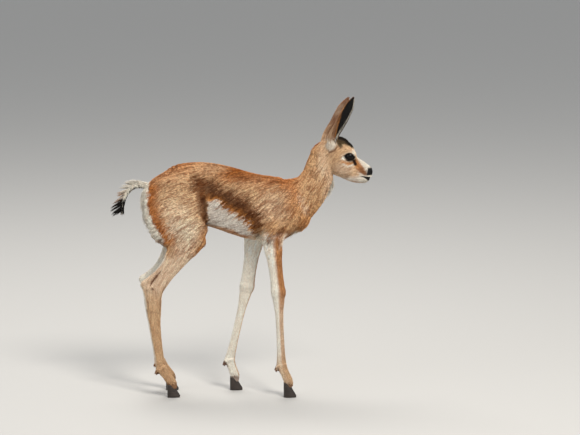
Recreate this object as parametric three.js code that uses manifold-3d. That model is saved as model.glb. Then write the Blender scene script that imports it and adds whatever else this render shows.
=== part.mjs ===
// A springbok lamb of about two weeks, standing still, life size, in millimetres. +X is
// forward, +Y is the lamb's left, +Z is up, and the soles of the hooves lie at Z = 0.
// The flesh is one smooth field of tapered forms, parted into nodes by thin plane cuts.
// The hooves, eyes, ears and tail are pieces of their own, set against the flesh.
import * as THREE from 'three';
import { mergeVertices } from 'three/addons/utils/BufferGeometryUtils.js';
import Module from 'manifold-3d';

const wasm = await Module();
wasm.setup();

// Driving dimensions.
const GAP = 0.3;
const STANCE = 42;
const SIDES = { left: 1, right: -1 };
const HIND_LAG = { left: -6, right: 0 };

// Trunk sections: x, height of the back, height of the underside, half-width.
const TRUNK = [
  [-203, 488, 402, 25],
  [-185, 507, 394, 32],
  [-160, 522, 391, 37],
  [-130, 538, 388, 38],
  [-96, 541, 389, 36],
  [-68, 538, 391, 37],
  [-38, 531, 383, 40],
  [-4, 521, 371, 43],
  [30, 513, 361, 45],
  [60, 509, 358, 43],
  [88, 504, 362, 37],
  [115, 497, 374, 31],
  [134, 488, 384, 26],
];
const TRUNK_CAPS = [26, 17];

// Neck sections from the chest to the poll: x, z, half-depth, half-width.
const NECK = [
  [112, 440, 56, 33],
  [140, 461, 48, 30],
  [161, 482, 41, 26],
  [173, 505, 37, 23.5],
  [179, 531, 32, 22.5],
  [186, 558, 28, 23],
];

// Head landmarks.
const POLL = [190, 568];
const CROWN = [220, 566];
const EYE = { x: 247.5, z: 556.5, y: 17, radius: 12.3, lid: 1.5 };
const LID_OPENING = { length: 20.8, height: 14.8, slant: -0.3 };
const NOSE_TIP = [292, 517];
const LIP_CORNER = [275, 510];
const LIP_FRONT = [303, 505];
const LIP_LINE = 0.9;
const NOSTRIL = { x: 297.5, y: 5.2, z: 518.5, long: 3.4, wide: 1.8, high: 2.8 };

// Ears: the middle of the back of each from root to tip, as x, distance from the middle, z,
// the half-width laid flat, the half-turn of the cup in radians, and the wall.
const EARS = {
  right: [[199, 17, 570], [202, 24, 602], [219.5, 32, 636], [239, 38, 669], [255, 42, 696]],
  left: [[181, 16, 562], [191, 27, 598], [210, 33, 628], [226, 38, 656], [245.5, 42, 685]],
};
const EAR_FACING = [0.55, 0.83, 0];
const EAR_HALF_WIDTHS = [19, 26, 22, 19.5, 14.5, 2];
const EAR_HALF_TURNS = [2.9, 2.4, 1.8, 1.3, 0.95, 0.5];
const EAR_WALL = { middle: 2.4, rim: 1.1 };

// Limb joints as x, z pairs, with the lateral place of each joint.
const FORELEGS = {
  right: { elbow: [70, 366], knee: [84, 246], fetlock: [91.5, 73], coronet: [109, 34] },
  left: { elbow: [29, 362], knee: [11.5, 246], fetlock: [-29.5, 70], coronet: [-16, 30] },
};
const HIND = { stifle: [-116, 375], hock: [-202, 248], fetlock: [-184.5, 66], coronet: [-159, 30] };
const CALCANEUS = [-224, 263];
const CANNON_AXIS = [[-204, 232], [-186, 72]];

const HOOF = { length: 30, half: 6.2, height: 44, lean: 0.35, spread: 7, points: 10 };

// Tail, from its root in the rump to the end of its core.
const TAIL = [
  [-205, 484],
  [-222, 489],
  [-238, 489],
  [-252, 482.5],
  [-263, 470],
  [-269, 456],
  [-273, 440],
  [-274, 424],
];
// The brush round the dock, at even stations: its reach to the outer side of the bend, to the
// inner side, and its half-width.
const TAIL_OUTER = [7, 9.5, 13, 14.5, 15.5, 16, 14, 5];
const TAIL_INNER = [6, 5, 4.5, 4, 4, 4, 4, 2.5];
const TAIL_HALF = [6, 6.5, 7, 7, 7.5, 8, 7, 3];
// Locks of the brush: rows along its part from one share to another, three to a row that are
// staggered and fanned out by an angle; each roots at a share of the brush's reach, is widest
// past its middle and has a blunt tip.
const LOCKS = {
  rows: 9,
  from: 0.12,
  to: 0.96,
  stagger: 0.18,
  scatter: 0.3,
  fan: 0.85,
  rootDepth: 0.35,
  rootSide: 0.3,
  length: 23,
  width: 15,
  thick: 2.2,
  tip: 0.4,
};

// Cut lines seen from the side, each through two points.
const CUTS = {
  headNeck: [[175, 591], [210, 499]],
  neckTorso: [[127, 502], [155, 408]],
  stifle: [[-77, 322], [-195, 386]],
  elbow: [[0, 351], [120, 351]],
};

// The outline over the hips that parts the thighs from the trunk: a half ellipse and its skirts.
const HIP_ARCH = { x: -152, z: 420, reach: 80, rise: 56, steps: 10, foot: 240, rear: -270 };

// A ring of a form: a place with its half-depth seen from the side and its half-width.
function ring(x, y, z, deep, wide) {
  return { x, y, z, deep, wide };
}

// A tapered form swept through rings, with a rounded cap of its own length at either end.
class Form {
  constructor(rings, { blend = 8, caps = null, egg = 0, steps = 4 } = {}) {
    this.blend = blend;
    this.egg = egg;
    const places = new THREE.CatmullRomCurve3(rings.map((r) => new THREE.Vector3(r.x, r.y, r.z)));
    const sizes = new THREE.CatmullRomCurve3(rings.map((r) => new THREE.Vector3(r.deep, r.wide, 0)));
    const first = rings[0];
    const last = rings[rings.length - 1];
    this.caps = caps ?? [Math.min(first.deep, first.wide), Math.min(last.deep, last.wide)];
    this.samples = [];
    const count = (rings.length - 1) * steps;
    const lateral = new THREE.Vector3(0, 1, 0);
    for (let i = 0; i <= count; i += 1) {
      const t = i / count;
      const place = places.getPoint(t);
      const size = sizes.getPoint(t);
      const along = places.getTangent(t);
      const across = lateral.clone().addScaledVector(along, -along.y).normalize();
      const up = new THREE.Vector3().crossVectors(along, across);
      this.samples.push({ place, along, across, up, deep: size.x, wide: size.y });
    }
  }

  // Signed distance, near enough to true close to the surface.
  distance(x, y, z) {
    let best = Infinity;
    let at = 0;
    let part = 0;
    for (let i = 0; i + 1 < this.samples.length; i += 1) {
      const a = this.samples[i].place;
      const b = this.samples[i + 1].place;
      const ex = b.x - a.x;
      const ey = b.y - a.y;
      const ez = b.z - a.z;
      const dot = (x - a.x) * ex + (y - a.y) * ey + (z - a.z) * ez;
      const f = Math.min(1, Math.max(0, dot / (ex * ex + ey * ey + ez * ez)));
      const dx = x - a.x - f * ex;
      const dy = y - a.y - f * ey;
      const dz = z - a.z - f * ez;
      const square = dx * dx + dy * dy + dz * dz;
      if (square < best) {
        best = square;
        at = i;
        part = f;
      }
    }
    const a = this.samples[at];
    const b = this.samples[at + 1];
    const mix = (p, q) => p + (q - p) * part;
    const vx = x - mix(a.place.x, b.place.x);
    const vy = y - mix(a.place.y, b.place.y);
    const vz = z - mix(a.place.z, b.place.z);
    const span = Math.hypot(vx, vy, vz);
    const deep = mix(a.deep, b.deep);
    const wide = mix(a.wide, b.wide);
    if (span < 1e-6) return -Math.min(deep, wide);
    const part3 = (name) => vx * mix(a[name].x, b[name].x) + vy * mix(a[name].y, b[name].y)
      + vz * mix(a[name].z, b[name].z);
    const high = part3('up') / deep;
    const side = part3('across') / (wide * (1 - this.egg * Math.max(-1, Math.min(1, high))));
    const forward = part3('along');
    const end = forward > 0 ? this.caps[1] : this.caps[0];
    const q = Math.hypot(high, side, forward / end);
    return span * (1 - 1 / Math.max(q, 1e-6));
  }
}

// Smooth union of two distances over a blend width.
function join(a, b, blend) {
  const h = Math.max(blend - Math.abs(a - b), 0) / blend;
  return Math.min(a, b) - h * h * blend * 0.25;
}

// The joined distance of a list of forms.
function fieldOf(forms) {
  return (x, y, z) => forms.reduce((d, form) => join(d, form.distance(x, y, z), form.blend), 1e3);
}

// Rings along a straight bone from one joint to the next: stations are fraction along,
// half-depth, half-width and an optional shift to the front of the line.
function bone(from, to, yFrom, yTo, stations) {
  const length = Math.hypot(to[0] - from[0], to[1] - from[1]);
  const front = [-(to[1] - from[1]) / length, (to[0] - from[0]) / length];
  return stations.map(([f, deep, wide, shift = 0]) => ring(
    from[0] + (to[0] - from[0]) * f + front[0] * shift,
    yFrom + (yTo - yFrom) * f,
    from[1] + (to[1] - from[1]) * f + front[1] * shift,
    deep,
    wide,
  ));
}

function trunkForms() {
  const rings = TRUNK.map(([x, back, under, half]) => (
    ring(x, 0, (back + under) / 2, (back - under) / 2, half)));
  const forms = [new Form(rings, { blend: 6, caps: TRUNK_CAPS, egg: 0.08 })];
  const neck = NECK.map(([x, z, deep, half]) => ring(x, 0, z, deep, half));
  forms.push(new Form(neck, { blend: 18 }));
  const breast = [ring(96, 0, 400, 26, 24), ring(124, 0, 402, 23, 21), ring(139, 0, 407, 17, 15)];
  forms.push(new Form(breast, { blend: 12 }));
  for (const s of Object.values(SIDES)) {
    const blade = [
      ring(74, s * 17, 484, 24, 13),
      ring(100, s * 24, 446, 28, 15),
      ring(118, s * 27, 412, 24, 15),
    ];
    forms.push(new Form(blade, { blend: 16 }));
  }
  return forms;
}

function headForms() {
  const skull = [
    ring(POLL[0], 0, POLL[1], 22, 18),
    ring(CROWN[0] - 12, 0, CROWN[1] + 1, 31, 25),
    ring(CROWN[0], 0, CROWN[1], 34.5, 28),
    ring(CROWN[0] + 11, 0, CROWN[1] - 6, 31, 27),
  ];
  const face = [
    ring(230, 0, 546, 32, 24),
    ring(252, 0, 528, 25, 21.5),
    ring(270, 0, 518, 23.5, 16.5),
    ring(283, 0, 514, 19, 13.5),
    ring(NOSE_TIP[0] - 1, 0, NOSE_TIP[1] - 1, 12.5, 11.5),
  ];
  const bridge = [ring(258, 0, 538, 13, 13), ring(279, 0, 529, 11.5, 10), ring(290, 0, 522.5, 9.5, 9)];
  const chin = [
    ring(226, 0, 522, 15, 16),
    ring(254, 0, 507, 12, 12),
    ring(283, 0, 500, 7, 8.5),
  ];
  const forms = [
    new Form(skull, { blend: 10 }),
    new Form(face, { blend: 10, caps: [20, 9] }),
    new Form(bridge, { blend: 8 }),
    new Form(chin, { blend: 9, caps: [15, 6] }),
  ];
  for (const [side, s] of Object.entries(SIDES)) {
    const brow = [
      ring(232, s * 17, 568, 9, 7), ring(243, s * 22, 569, 5, 6), ring(252, s * 18, 561, 5, 6),
    ];
    const cheek = [ring(224, s * 15, 536, 20, 12), ring(243, s * 17, 527, 13, 9)];
    const [x, y, z] = EARS[side][0];
    const root = [ring(x + 4, s * (y - 2), z, 15, 13), ring(x + 7, s * (y + 8), z + 15, 12, 11)];
    const orbit = [
      ring(234, s * 12, 559, 16, 12), ring(245, s * 14.5, 556, 15, 12.5), ring(251, s * 12, 552.5, 12.5, 11.5),
    ];
    const upperLip = [
      ring(272, s * 11, 514.5, 5, 4.5), ring(284, s * 9, 512, 5, 4.5), ring(293, s * 4, 511, 4.5, 4.5),
    ];
    const lowerLip = [
      ring(272, s * 8.5, 504, 4, 4), ring(284, s * 6.5, 502, 4, 4), ring(290, s * 2.5, 501.5, 4, 3.5),
    ];
    forms.push(new Form(brow, { blend: 8 }));
    forms.push(new Form(cheek, { blend: 12 }));
    forms.push(new Form(root, { blend: 8 }));
    forms.push(new Form(orbit, { blend: 8 }));
    forms.push(new Form(upperLip, { blend: 4 }));
    forms.push(new Form(lowerLip, { blend: 4 }));
    const wing = [ring(290, s * 7, 520, 6, 4), ring(296, s * 5, 519, 5, 4)];
    forms.push(new Form(wing, { blend: 4 }));
  }
  return forms;
}

// The two digits from a fetlock to the coronet, with the small dewclaws behind.
function digitForms(fetlock, coronet, s, half) {
  const forms = [];
  for (const digit of [-1, 1]) {
    const y = s * STANCE + digit * half * 0.5;
    const stations = [[0, 11.5, 6.8], [0.45, 9.5, 6.2], [0.85, 10, 6.4], [1.25, 11, 6.6]];
    forms.push(new Form(bone(fetlock, coronet, y, y + digit * 0.8, stations), { blend: 3 }));
    const claw = [
      ring(fetlock[0] - 9, y, fetlock[1] - 3, 4, 3),
      ring(fetlock[0] - 13.5, y, fetlock[1] - 9, 3.2, 2.6),
    ];
    forms.push(new Form(claw, { blend: 4 }));
  }
  return forms;
}

function forelegForms(side) {
  const s = SIDES[side];
  const { elbow, knee, fetlock, coronet } = FORELEGS[side];
  const upper = [ring(116, s * 26, 408, 20, 14), ring(elbow[0] + 12, s * 31, elbow[1] + 16, 22, 15),
    ring(elbow[0], s * 34, elbow[1], 22, 15)];
  const forearm = bone(elbow, knee, s * 34, s * 39, [
    [0, 24, 17], [0.2, 21, 15.5], [0.4, 17, 13.5], [0.7, 15.5, 12.5], [0.88, 16, 13.5], [1.03, 16, 13.5],
  ]);
  const cannon = bone(knee, fetlock, s * 39, s * STANCE, [
    [0, 15.5, 13.5], [0.12, 13.5, 12], [0.28, 9.8, 9.8], [0.5, 8.6, 8.6], [0.75, 8.9, 8.8],
    [0.9, 10, 10], [1, 12, 11.5],
  ]);
  return [
    new Form(upper, { blend: 16 }),
    new Form(forearm, { blend: 10 }),
    new Form(cannon, { blend: 6 }),
    ...digitForms(fetlock, coronet, s, 13.5),
  ];
}

function hindlegForms(side) {
  const s = SIDES[side];
  const lag = HIND_LAG[side];
  const move = (p) => [p[0] + lag, p[1]];
  const [stifle, hock, fetlock, coronet] = [HIND.stifle, HIND.hock, HIND.fetlock, HIND.coronet].map(move);
  const heel = move(CALCANEUS);
  const thigh = [
    ring(-140, s * 22, 486, 50, 20), ring(-145, s * 26, 444, 66, 23),
    ring(-147, s * 28, 408, 70, 23), ring(-134 + lag / 2, s * 30, 376, 53, 21),
  ];
  const buttock = [
    ring(-197, s * 18, 446, 29, 19), ring(-198, s * 22, 420, 27, 20), ring(-193, s * 24, 402, 20, 18),
  ];
  const kneecap = [
    ring(-90 + lag / 2, s * 33, 390, 14, 12), ring(-97 + lag / 2, s * 34, 366, 14, 12),
    ring(-112 + lag, s * 34, 345, 14, 12),
  ];
  const shank = bone(stifle, hock, s * 31, s * 37, [
    [0, 37, 20, 2], [0.25, 31, 18, 1], [0.5, 23, 14.5, 2], [0.75, 17, 11.5, 3], [1, 17, 12, 2],
  ]);
  const tendon = [
    ring(-155 + 2 * lag, s * 33, 352, 12, 12), ring(-167 + 2 * lag, s * 35, 320, 8, 7.5),
    ring(-195 + lag, s * 36, 287, 7, 6), ring(heel[0], s * 37, heel[1], 7, 7),
  ];
  const heelBone = [ring(heel[0] + 1, s * 37, heel[1] - 2, 8, 8), ring(hock[0] - 8, s * 38, hock[1] - 16, 13, 11)];
  const cannon = bone(hock, fetlock, s * 38, s * STANCE, [
    [0, 19, 13], [0.16, 18.8, 13, -4], [0.28, 17.2, 12, -5.5], [0.42, 14, 10.5, -6],
    [0.6, 12.1, 9.8, -5.5], [0.76, 11, 9.6, -4], [0.9, 10.8, 10.2, -3], [1, 12.3, 11.5, -1.5],
  ]);
  return [
    new Form(thigh, { blend: 14, caps: [20, 20] }),
    new Form(buttock, { blend: 10 }),
    new Form(shank, { blend: 12 }),
    new Form(kneecap, { blend: 12 }),
    new Form(tendon, { blend: 10 }),
    new Form(heelBone, { blend: 7 }),
    new Form(cannon, { blend: 7 }),
    ...digitForms(fetlock, coronet, s, 13.5),
  ];
}

const trunk = trunkForms();
const headParts = headForms();
const fore = { left: forelegForms('left'), right: forelegForms('right') };
const hind = { left: hindlegForms('left'), right: hindlegForms('right') };
const torsoField = fieldOf([...trunk, ...fore.left.slice(0, 2), ...fore.right.slice(0, 2),
  ...hind.left.slice(0, 3), ...hind.right.slice(0, 3)]);
const headField = fieldOf([...trunk.slice(0, 3), ...headParts]);
const foreField = { left: fieldOf([...trunk, ...fore.left]), right: fieldOf([...trunk, ...fore.right]) };
const legField = {
  fore: { left: fieldOf(fore.left), right: fieldOf(fore.right) },
  hind: { left: fieldOf(hind.left), right: fieldOf(hind.right) },
};
const hindField = { left: fieldOf([...trunk, ...hind.left]), right: fieldOf([...trunk, ...hind.right]) };

// The gradient of a field by central differences.
function slopeOf(field, x, y, z) {
  const h = 0.05;
  return [
    (field(x + h, y, z) - field(x - h, y, z)) / (2 * h),
    (field(x, y + h, z) - field(x, y - h, z)) / (2 * h),
    (field(x, y, z + h) - field(x, y, z - h)) / (2 * h),
  ];
}

// Grid lines from one value to another, no further apart than a step.
function gridLines(from, to, step) {
  const count = Math.ceil((to - from) / step);
  return Array.from({ length: count + 1 }, (_, i) => from + ((to - from) * i) / count);
}

// The grid lines of a box, with one step for each axis.
function gridOf(low, high, steps) {
  return low.map((v, i) => gridLines(v, high[i], steps[i]));
}

// A closed net over the zero level of a field on a grid. Values on the grid's walls count as
// outside, so the net closes there, and the cuts take those ends away.
function netOf(field, grid) {
  const [nx, ny, nz] = grid.map((lines) => lines.length - 1);
  const corner = (i, j, k) => (i * (ny + 1) + j) * (nz + 1) + k;
  const place = (...c) => c.map((n, axis) => grid[axis][n]);
  const value = new Float64Array((nx + 1) * (ny + 1) * (nz + 1));
  for (let i = 0; i <= nx; i += 1) {
    for (let j = 0; j <= ny; j += 1) {
      for (let k = 0; k <= nz; k += 1) {
        const d = field(...place(i, j, k));
        const wall = i === 0 || j === 0 || k === 0 || i === nx || j === ny || k === nz;
        value[corner(i, j, k)] = wall ? Math.max(d, 1) : d;
      }
    }
  }
  const positions = [];
  const indexOf = new Int32Array(nx * ny * nz).fill(-1);
  const cellAt = (i, j, k) => (i * ny + j) * nz + k;
  for (let i = 0; i < nx; i += 1) {
    for (let j = 0; j < ny; j += 1) {
      for (let k = 0; k < nz; k += 1) {
        const crossings = [];
        for (let axis = 0; axis < 3; axis += 1) {
          for (let e = 0; e < 4; e += 1) {
            const a = [i, j, k];
            a[(axis + 1) % 3] += e & 1;
            a[(axis + 2) % 3] += e >> 1;
            const b = [...a];
            b[axis] += 1;
            const va = value[corner(...a)];
            const vb = value[corner(...b)];
            if ((va < 0) !== (vb < 0)) {
              const f = va / (va - vb);
              const p = place(...a);
              p[axis] += f * (grid[axis][b[axis]] - p[axis]);
              crossings.push(p);
            }
          }
        }
        if (crossings.length > 0) {
          const p = [0, 1, 2].map((c) => crossings.reduce((sum, q) => sum + q[c], 0) / crossings.length);
          const edge = i === 0 || j === 0 || k === 0 || i === nx - 1 || j === ny - 1 || k === nz - 1;
          const room = Math.min(...[i, j, k].map((n, axis) => grid[axis][n + 1] - grid[axis][n]));
          if (!edge) settle(field, p, room * 0.45);
          indexOf[cellAt(i, j, k)] = positions.length / 3;
          positions.push(...p);
        }
      }
    }
  }
  const faces = [];
  const point = (n) => positions.slice(n * 3, n * 3 + 3);
  const gap2 = (a, b) => point(a).reduce((sum, v, c) => sum + (v - point(b)[c]) ** 2, 0);
  for (let i = 0; i < nx; i += 1) {
    for (let j = 0; j < ny; j += 1) {
      for (let k = 0; k < nz; k += 1) {
        for (let axis = 0; axis < 3; axis += 1) {
          const b = [i, j, k];
          if (b[(axis + 1) % 3] === 0 || b[(axis + 2) % 3] === 0) continue;
          b[axis] += 1;
          const inside = value[corner(i, j, k)] < 0;
          if (inside === (value[corner(...b)] < 0)) continue;
          const u = (axis + 1) % 3;
          const w = (axis + 2) % 3;
          const quad = [[0, 0], [1, 0], [1, 1], [0, 1]].map(([du, dw]) => {
            const c = [i, j, k];
            c[u] -= du;
            c[w] -= dw;
            return indexOf[cellAt(...c)];
          });
          if (!inside) quad.reverse();
          const [p, q, r, t] = quad;
          if (gap2(p, r) < gap2(q, t)) faces.push(p, q, r, p, r, t);
          else faces.push(p, q, t, q, r, t);
        }
      }
    }
  }
  const geometry = new THREE.BufferGeometry();
  geometry.setAttribute('position', new THREE.Float32BufferAttribute(positions, 3));
  geometry.setIndex(faces);
  return geometry;
}

// A closed tube round a straight axis whose points lie where rays from the axis leave the
// field: for the first time, or for the last time within a reach.
function tubeOf(field, start, end, rings, points, { reach = 40, last = false } = {}) {
  const axis = end.clone().sub(start).normalize();
  const lateral = new THREE.Vector3(0, 1, 0).addScaledVector(axis, -axis.y).normalize();
  const rear = new THREE.Vector3().crossVectors(lateral, axis);
  return loftOf(Array.from({ length: rings }, (_, i) => {
    const centre = start.clone().lerp(end, i / (rings - 1));
    return Array.from({ length: points }, (__, j) => {
      const turn = (j / points) * 2 * Math.PI;
      const way = rear.clone().multiplyScalar(Math.cos(turn)).addScaledVector(lateral, Math.sin(turn));
      const at = (r) => centre.clone().addScaledVector(way, r);
      const inside = (r) => field(...at(r).toArray()) < 0;
      let out = last ? reach : 1;
      if (last) {
        while (out > 1 && !inside(out - 1)) out -= 1;
      } else {
        while (out < reach && inside(out)) out += 1;
      }
      let low = out - 1;
      let high = out;
      for (let step = 0; step < 12; step += 1) {
        const half = (low + high) / 2;
        if (inside(half)) low = half;
        else high = half;
      }
      return at(low).toArray();
    });
  }));
}

// Moves a point onto the zero level, no further than a limit.
function settle(field, p, limit) {
  const start = [...p];
  for (let step = 0; step < 3; step += 1) {
    const d = field(...p);
    const g = slopeOf(field, ...p);
    const square = Math.max(g[0] * g[0] + g[1] * g[1] + g[2] * g[2], 0.05);
    for (let c = 0; c < 3; c += 1) p[c] -= (d * g[c]) / square;
  }
  const moved = Math.hypot(p[0] - start[0], p[1] - start[1], p[2] - start[2]);
  if (moved > limit) {
    for (let c = 0; c < 3; c += 1) p[c] = start[c] + ((p[c] - start[c]) * limit) / moved;
  }
}

// A closed solid ready for joins and cuts.
function solidOf(geometry) {
  const plain = geometry.clone();
  plain.deleteAttribute('normal');
  plain.deleteAttribute('uv');
  const merged = mergeVertices(plain, 1e-4);
  return new wasm.Manifold(new wasm.Mesh({
    numProp: 3,
    vertProperties: Float32Array.from(merged.attributes.position.array),
    triVerts: Uint32Array.from(merged.index.array),
  }));
}

// The largest closed surface of a solid, as a geometry.
function geometryOf(solid) {
  const pieces = solid.decompose().sort((a, b) => b.volume() - a.volume());
  const mesh = pieces[0].getMesh();
  const geometry = new THREE.BufferGeometry();
  geometry.setAttribute('position', new THREE.BufferAttribute(mesh.vertProperties, 3));
  geometry.setIndex(new THREE.BufferAttribute(mesh.triVerts, 1));
  return geometry;
}

// A closed skin over a stack of rings with as many points each, with a fan at either end.
function loftOf(rings) {
  const n = rings[0].length;
  const positions = rings.flat(2);
  const faces = [];
  for (let i = 0; i + 1 < rings.length; i += 1) {
    for (let j = 0; j < n; j += 1) {
      const a = i * n + j;
      const b = i * n + ((j + 1) % n);
      faces.push(a, b, b + n, a, b + n, a + n);
    }
  }
  for (const [start, turn] of [[0, -1], [(rings.length - 1) * n, 1]]) {
    for (let j = 1; j + 1 < n; j += 1) {
      if (turn > 0) faces.push(start, start + j, start + j + 1);
      else faces.push(start, start + j + 1, start + j);
    }
  }
  const geometry = new THREE.BufferGeometry();
  geometry.setAttribute('position', new THREE.Float32BufferAttribute(positions, 3));
  geometry.setIndex(faces);
  return geometry;
}

// One claw of a cloven hoof: a pointed half leaf on the ground, leaning back to the coronet.
// The outer wall bulges, the wall at the cleft is nearly flat.
function hoofGeometry(coronet, y, digit) {
  const { length, half, height, lean, points } = HOOF;
  const heel = coronet[0] - length * 0.47;
  const levels = [[0, 0.95, 0.95], [0.06, 1, 1], [0.45, 0.9, 0.96], [1, 0.78, 0.94]];
  return loftOf(levels.map(([rise, long, wide]) => {
    const turns = Array.from({ length: points }, (_, i) => (i / points) * 2 * Math.PI);
    return turns.map((turn) => {
      const toe = (1 + Math.cos(turn)) / 2;
      const taper = Math.sin(turn) * (1 - 0.55 * toe ** 2.2);
      const outward = Math.sign(taper) === digit ? 1.1 : 0.85;
      const x = heel + length * (toe * long + 0.05) - rise * height * lean * toe;
      return [x, y + taper * half * wide * outward, rise * height];
    });
  }));
}

// The half-space on one side of a line seen from the side: the side that holds a given point,
// kept clear of the line by half a gap.
function halfSpace([a, b], toward) {
  const reach = 1000;
  const along = new THREE.Vector2(b[0] - a[0], b[1] - a[1]).normalize();
  const away = new THREE.Vector2(-along.y, along.x);
  const offset = (toward[0] - a[0]) * away.x + (toward[1] - a[1]) * away.y;
  away.multiplyScalar(Math.sign(offset));
  const block = new THREE.BoxGeometry(2 * reach, 2 * reach, reach);
  block.translate(0, 0, (reach + GAP) / 2);
  block.applyMatrix4(new THREE.Matrix4().makeBasis(
    new THREE.Vector3(away.y, 0, -away.x),
    new THREE.Vector3(0, 1, 0),
    new THREE.Vector3(away.x, 0, away.y),
  ));
  block.translate(a[0], 0, a[1]);
  return solidOf(block);
}

// A line across a bone at a fraction of its length.
function across(from, to, fraction) {
  const middle = [from[0] + (to[0] - from[0]) * fraction, from[1] + (to[1] - from[1]) * fraction];
  return [middle, [middle[0] - (to[1] - from[1]), middle[1] + (to[0] - from[0])]];
}

// The prism under the hip arch, drawn in by an inset.
function hipPrism(inset) {
  const { x, z, reach, rise, steps, foot, rear } = HIP_ARCH;
  const outline = new THREE.Shape();
  outline.moveTo(x + reach - inset, foot);
  for (let i = 0; i <= steps; i += 1) {
    const turn = (i / steps) * Math.PI;
    outline.lineTo(x + (reach - inset) * Math.cos(turn), z + (rise - inset) * Math.sin(turn));
  }
  outline.lineTo(rear, z - inset);
  outline.lineTo(rear, foot);
  const prism = new THREE.ExtrudeGeometry(outline, { depth: 160, bevelEnabled: false });
  prism.rotateX(Math.PI / 2);
  prism.translate(0, 80, 0);
  return solidOf(prism);
}

// A box between two corners, as a solid.
function blockOf(low, high) {
  const size = low.map((v, i) => high[i] - v);
  const block = new THREE.BoxGeometry(...size);
  block.translate(...low.map((v, i) => v + size[i] / 2));
  return solidOf(block);
}

const COLOURS = {
  tan: 0xb98a5e, fawn: 0xcda27a, pale: 0xd9c3a6, white: 0xece6dc, dark: 0x2b211c, horn: 0x2a2624,
};
const lamb = new THREE.Group();

function addNode(name, solid, colour, roughness = 0.85) {
  const material = new THREE.MeshStandardMaterial({ color: colour, roughness, metalness: 0 });
  const mesh = new THREE.Mesh(geometryOf(solid), material);
  mesh.name = name;
  lamb.add(mesh);
}

// Torso: the trunk above the elbows, without the thighs.
const torsoGrid = gridOf([-245, -66, 325], [175, 66, 560], [15, 11.4, 13.9]);
const torsoNet = solidOf(netOf(torsoField, torsoGrid));
const torso = torsoNet
  .intersect(halfSpace(CUTS.neckTorso, [0, 450]))
  .intersect(halfSpace(CUTS.elbow, [0, 450]))
  .subtract(hipPrism(0));
addNode('torso', torso, COLOURS.tan);

// Neck, between the chest and the poll.
const neck = solidOf(netOf(headField, gridOf([105, -48, 390], [235, 48, 620], [12.5, 10.5, 13.5])))
  .intersect(halfSpace(CUTS.neckTorso, [200, 500]))
  .intersect(halfSpace(CUTS.headNeck, [150, 500]));
addNode('neck', neck, COLOURS.tan);

// A ball, stretched along each axis.
function ballOf(x, y, z, radii, around = 16, down = 10) {
  const ball = new THREE.SphereGeometry(1, around, down);
  ball.rotateX(Math.PI / 2);
  ball.scale(...radii);
  ball.translate(x, y, z);
  return ball;
}

// A prism that runs outward from the middle on one side, drawn as a shape seen from the side.
function sidePrism(shape, s, from, to) {
  const prism = new THREE.ExtrudeGeometry(shape, { depth: to - from, bevelEnabled: false, curveSegments: 10 });
  prism.rotateX(Math.PI / 2);
  prism.translate(0, s > 0 ? to : -from, 0);
  return solidOf(prism);
}

// The almond between the lids, seen from the side.
function lidOpening() {
  const { length, height, slant } = LID_OPENING;
  const almond = new THREE.Shape();
  const points = 14;
  for (let i = 0; i < points; i += 1) {
    const turn = (i / points) * 2 * Math.PI;
    const u = Math.cos(turn) * length / 2;
    const w = Math.sin(turn) * (1 - 0.25 * Math.cos(turn) ** 2) * height / 2;
    const x = EYE.x + u * Math.cos(slant) - w * Math.sin(slant);
    const z = EYE.z + u * Math.sin(slant) + w * Math.cos(slant);
    if (i === 0) almond.moveTo(x, z);
    else almond.lineTo(x, z);
  }
  return almond;
}

// The thin gap between the closed lips, from the corner to past the front.
function lipGap() {
  const half = LIP_LINE / 2;
  const middle = [(LIP_CORNER[0] + LIP_FRONT[0]) / 2, (LIP_CORNER[1] + LIP_FRONT[1]) / 2 - 1.2];
  const gap = new THREE.Shape();
  gap.moveTo(LIP_CORNER[0], LIP_CORNER[1] - half);
  gap.quadraticCurveTo(middle[0], middle[1] - half, LIP_FRONT[0], LIP_FRONT[1] - half);
  gap.lineTo(LIP_FRONT[0], LIP_FRONT[1] + half);
  gap.quadraticCurveTo(middle[0], middle[1] + half, LIP_CORNER[0], LIP_CORNER[1] + half);
  return gap;
}

// Head: the field with lids over the eyes, the mouth line and the nostrils.
const headGrid = [
  [...gridLines(160, 258, 9), ...gridLines(258, 308, 5.2).slice(1)],
  gridLines(-42, 42, 6.5),
  [...gridLines(482, 530, 5.4), ...gridLines(530, 620, 8.5).slice(1)],
];
let head = solidOf(netOf(headField, headGrid)).intersect(halfSpace(CUTS.headNeck, [250, 540]));
for (const [side, s] of Object.entries(SIDES)) {
  const ballAt = (radius) => ballOf(EYE.x, s * EYE.y, EYE.z, [radius, radius, radius], 15, 10);
  head = head
    .add(solidOf(ballAt(EYE.radius + EYE.lid)))
    .subtract(solidOf(ballAt(EYE.radius + GAP)))
    .subtract(sidePrism(lidOpening(), s, EYE.y + 2, 60));
  const { x, y, z, long, wide, high } = NOSTRIL;
  head = head.subtract(solidOf(ballOf(x, s * y, z, [long, wide, high], 8, 6)));
  addNode(`eye_${side}`, solidOf(ballAt(EYE.radius)), COLOURS.dark, 0.15);
}
addNode('head', head.subtract(sidePrism(lipGap(), 1, -40, 40)), COLOURS.tan);

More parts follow.
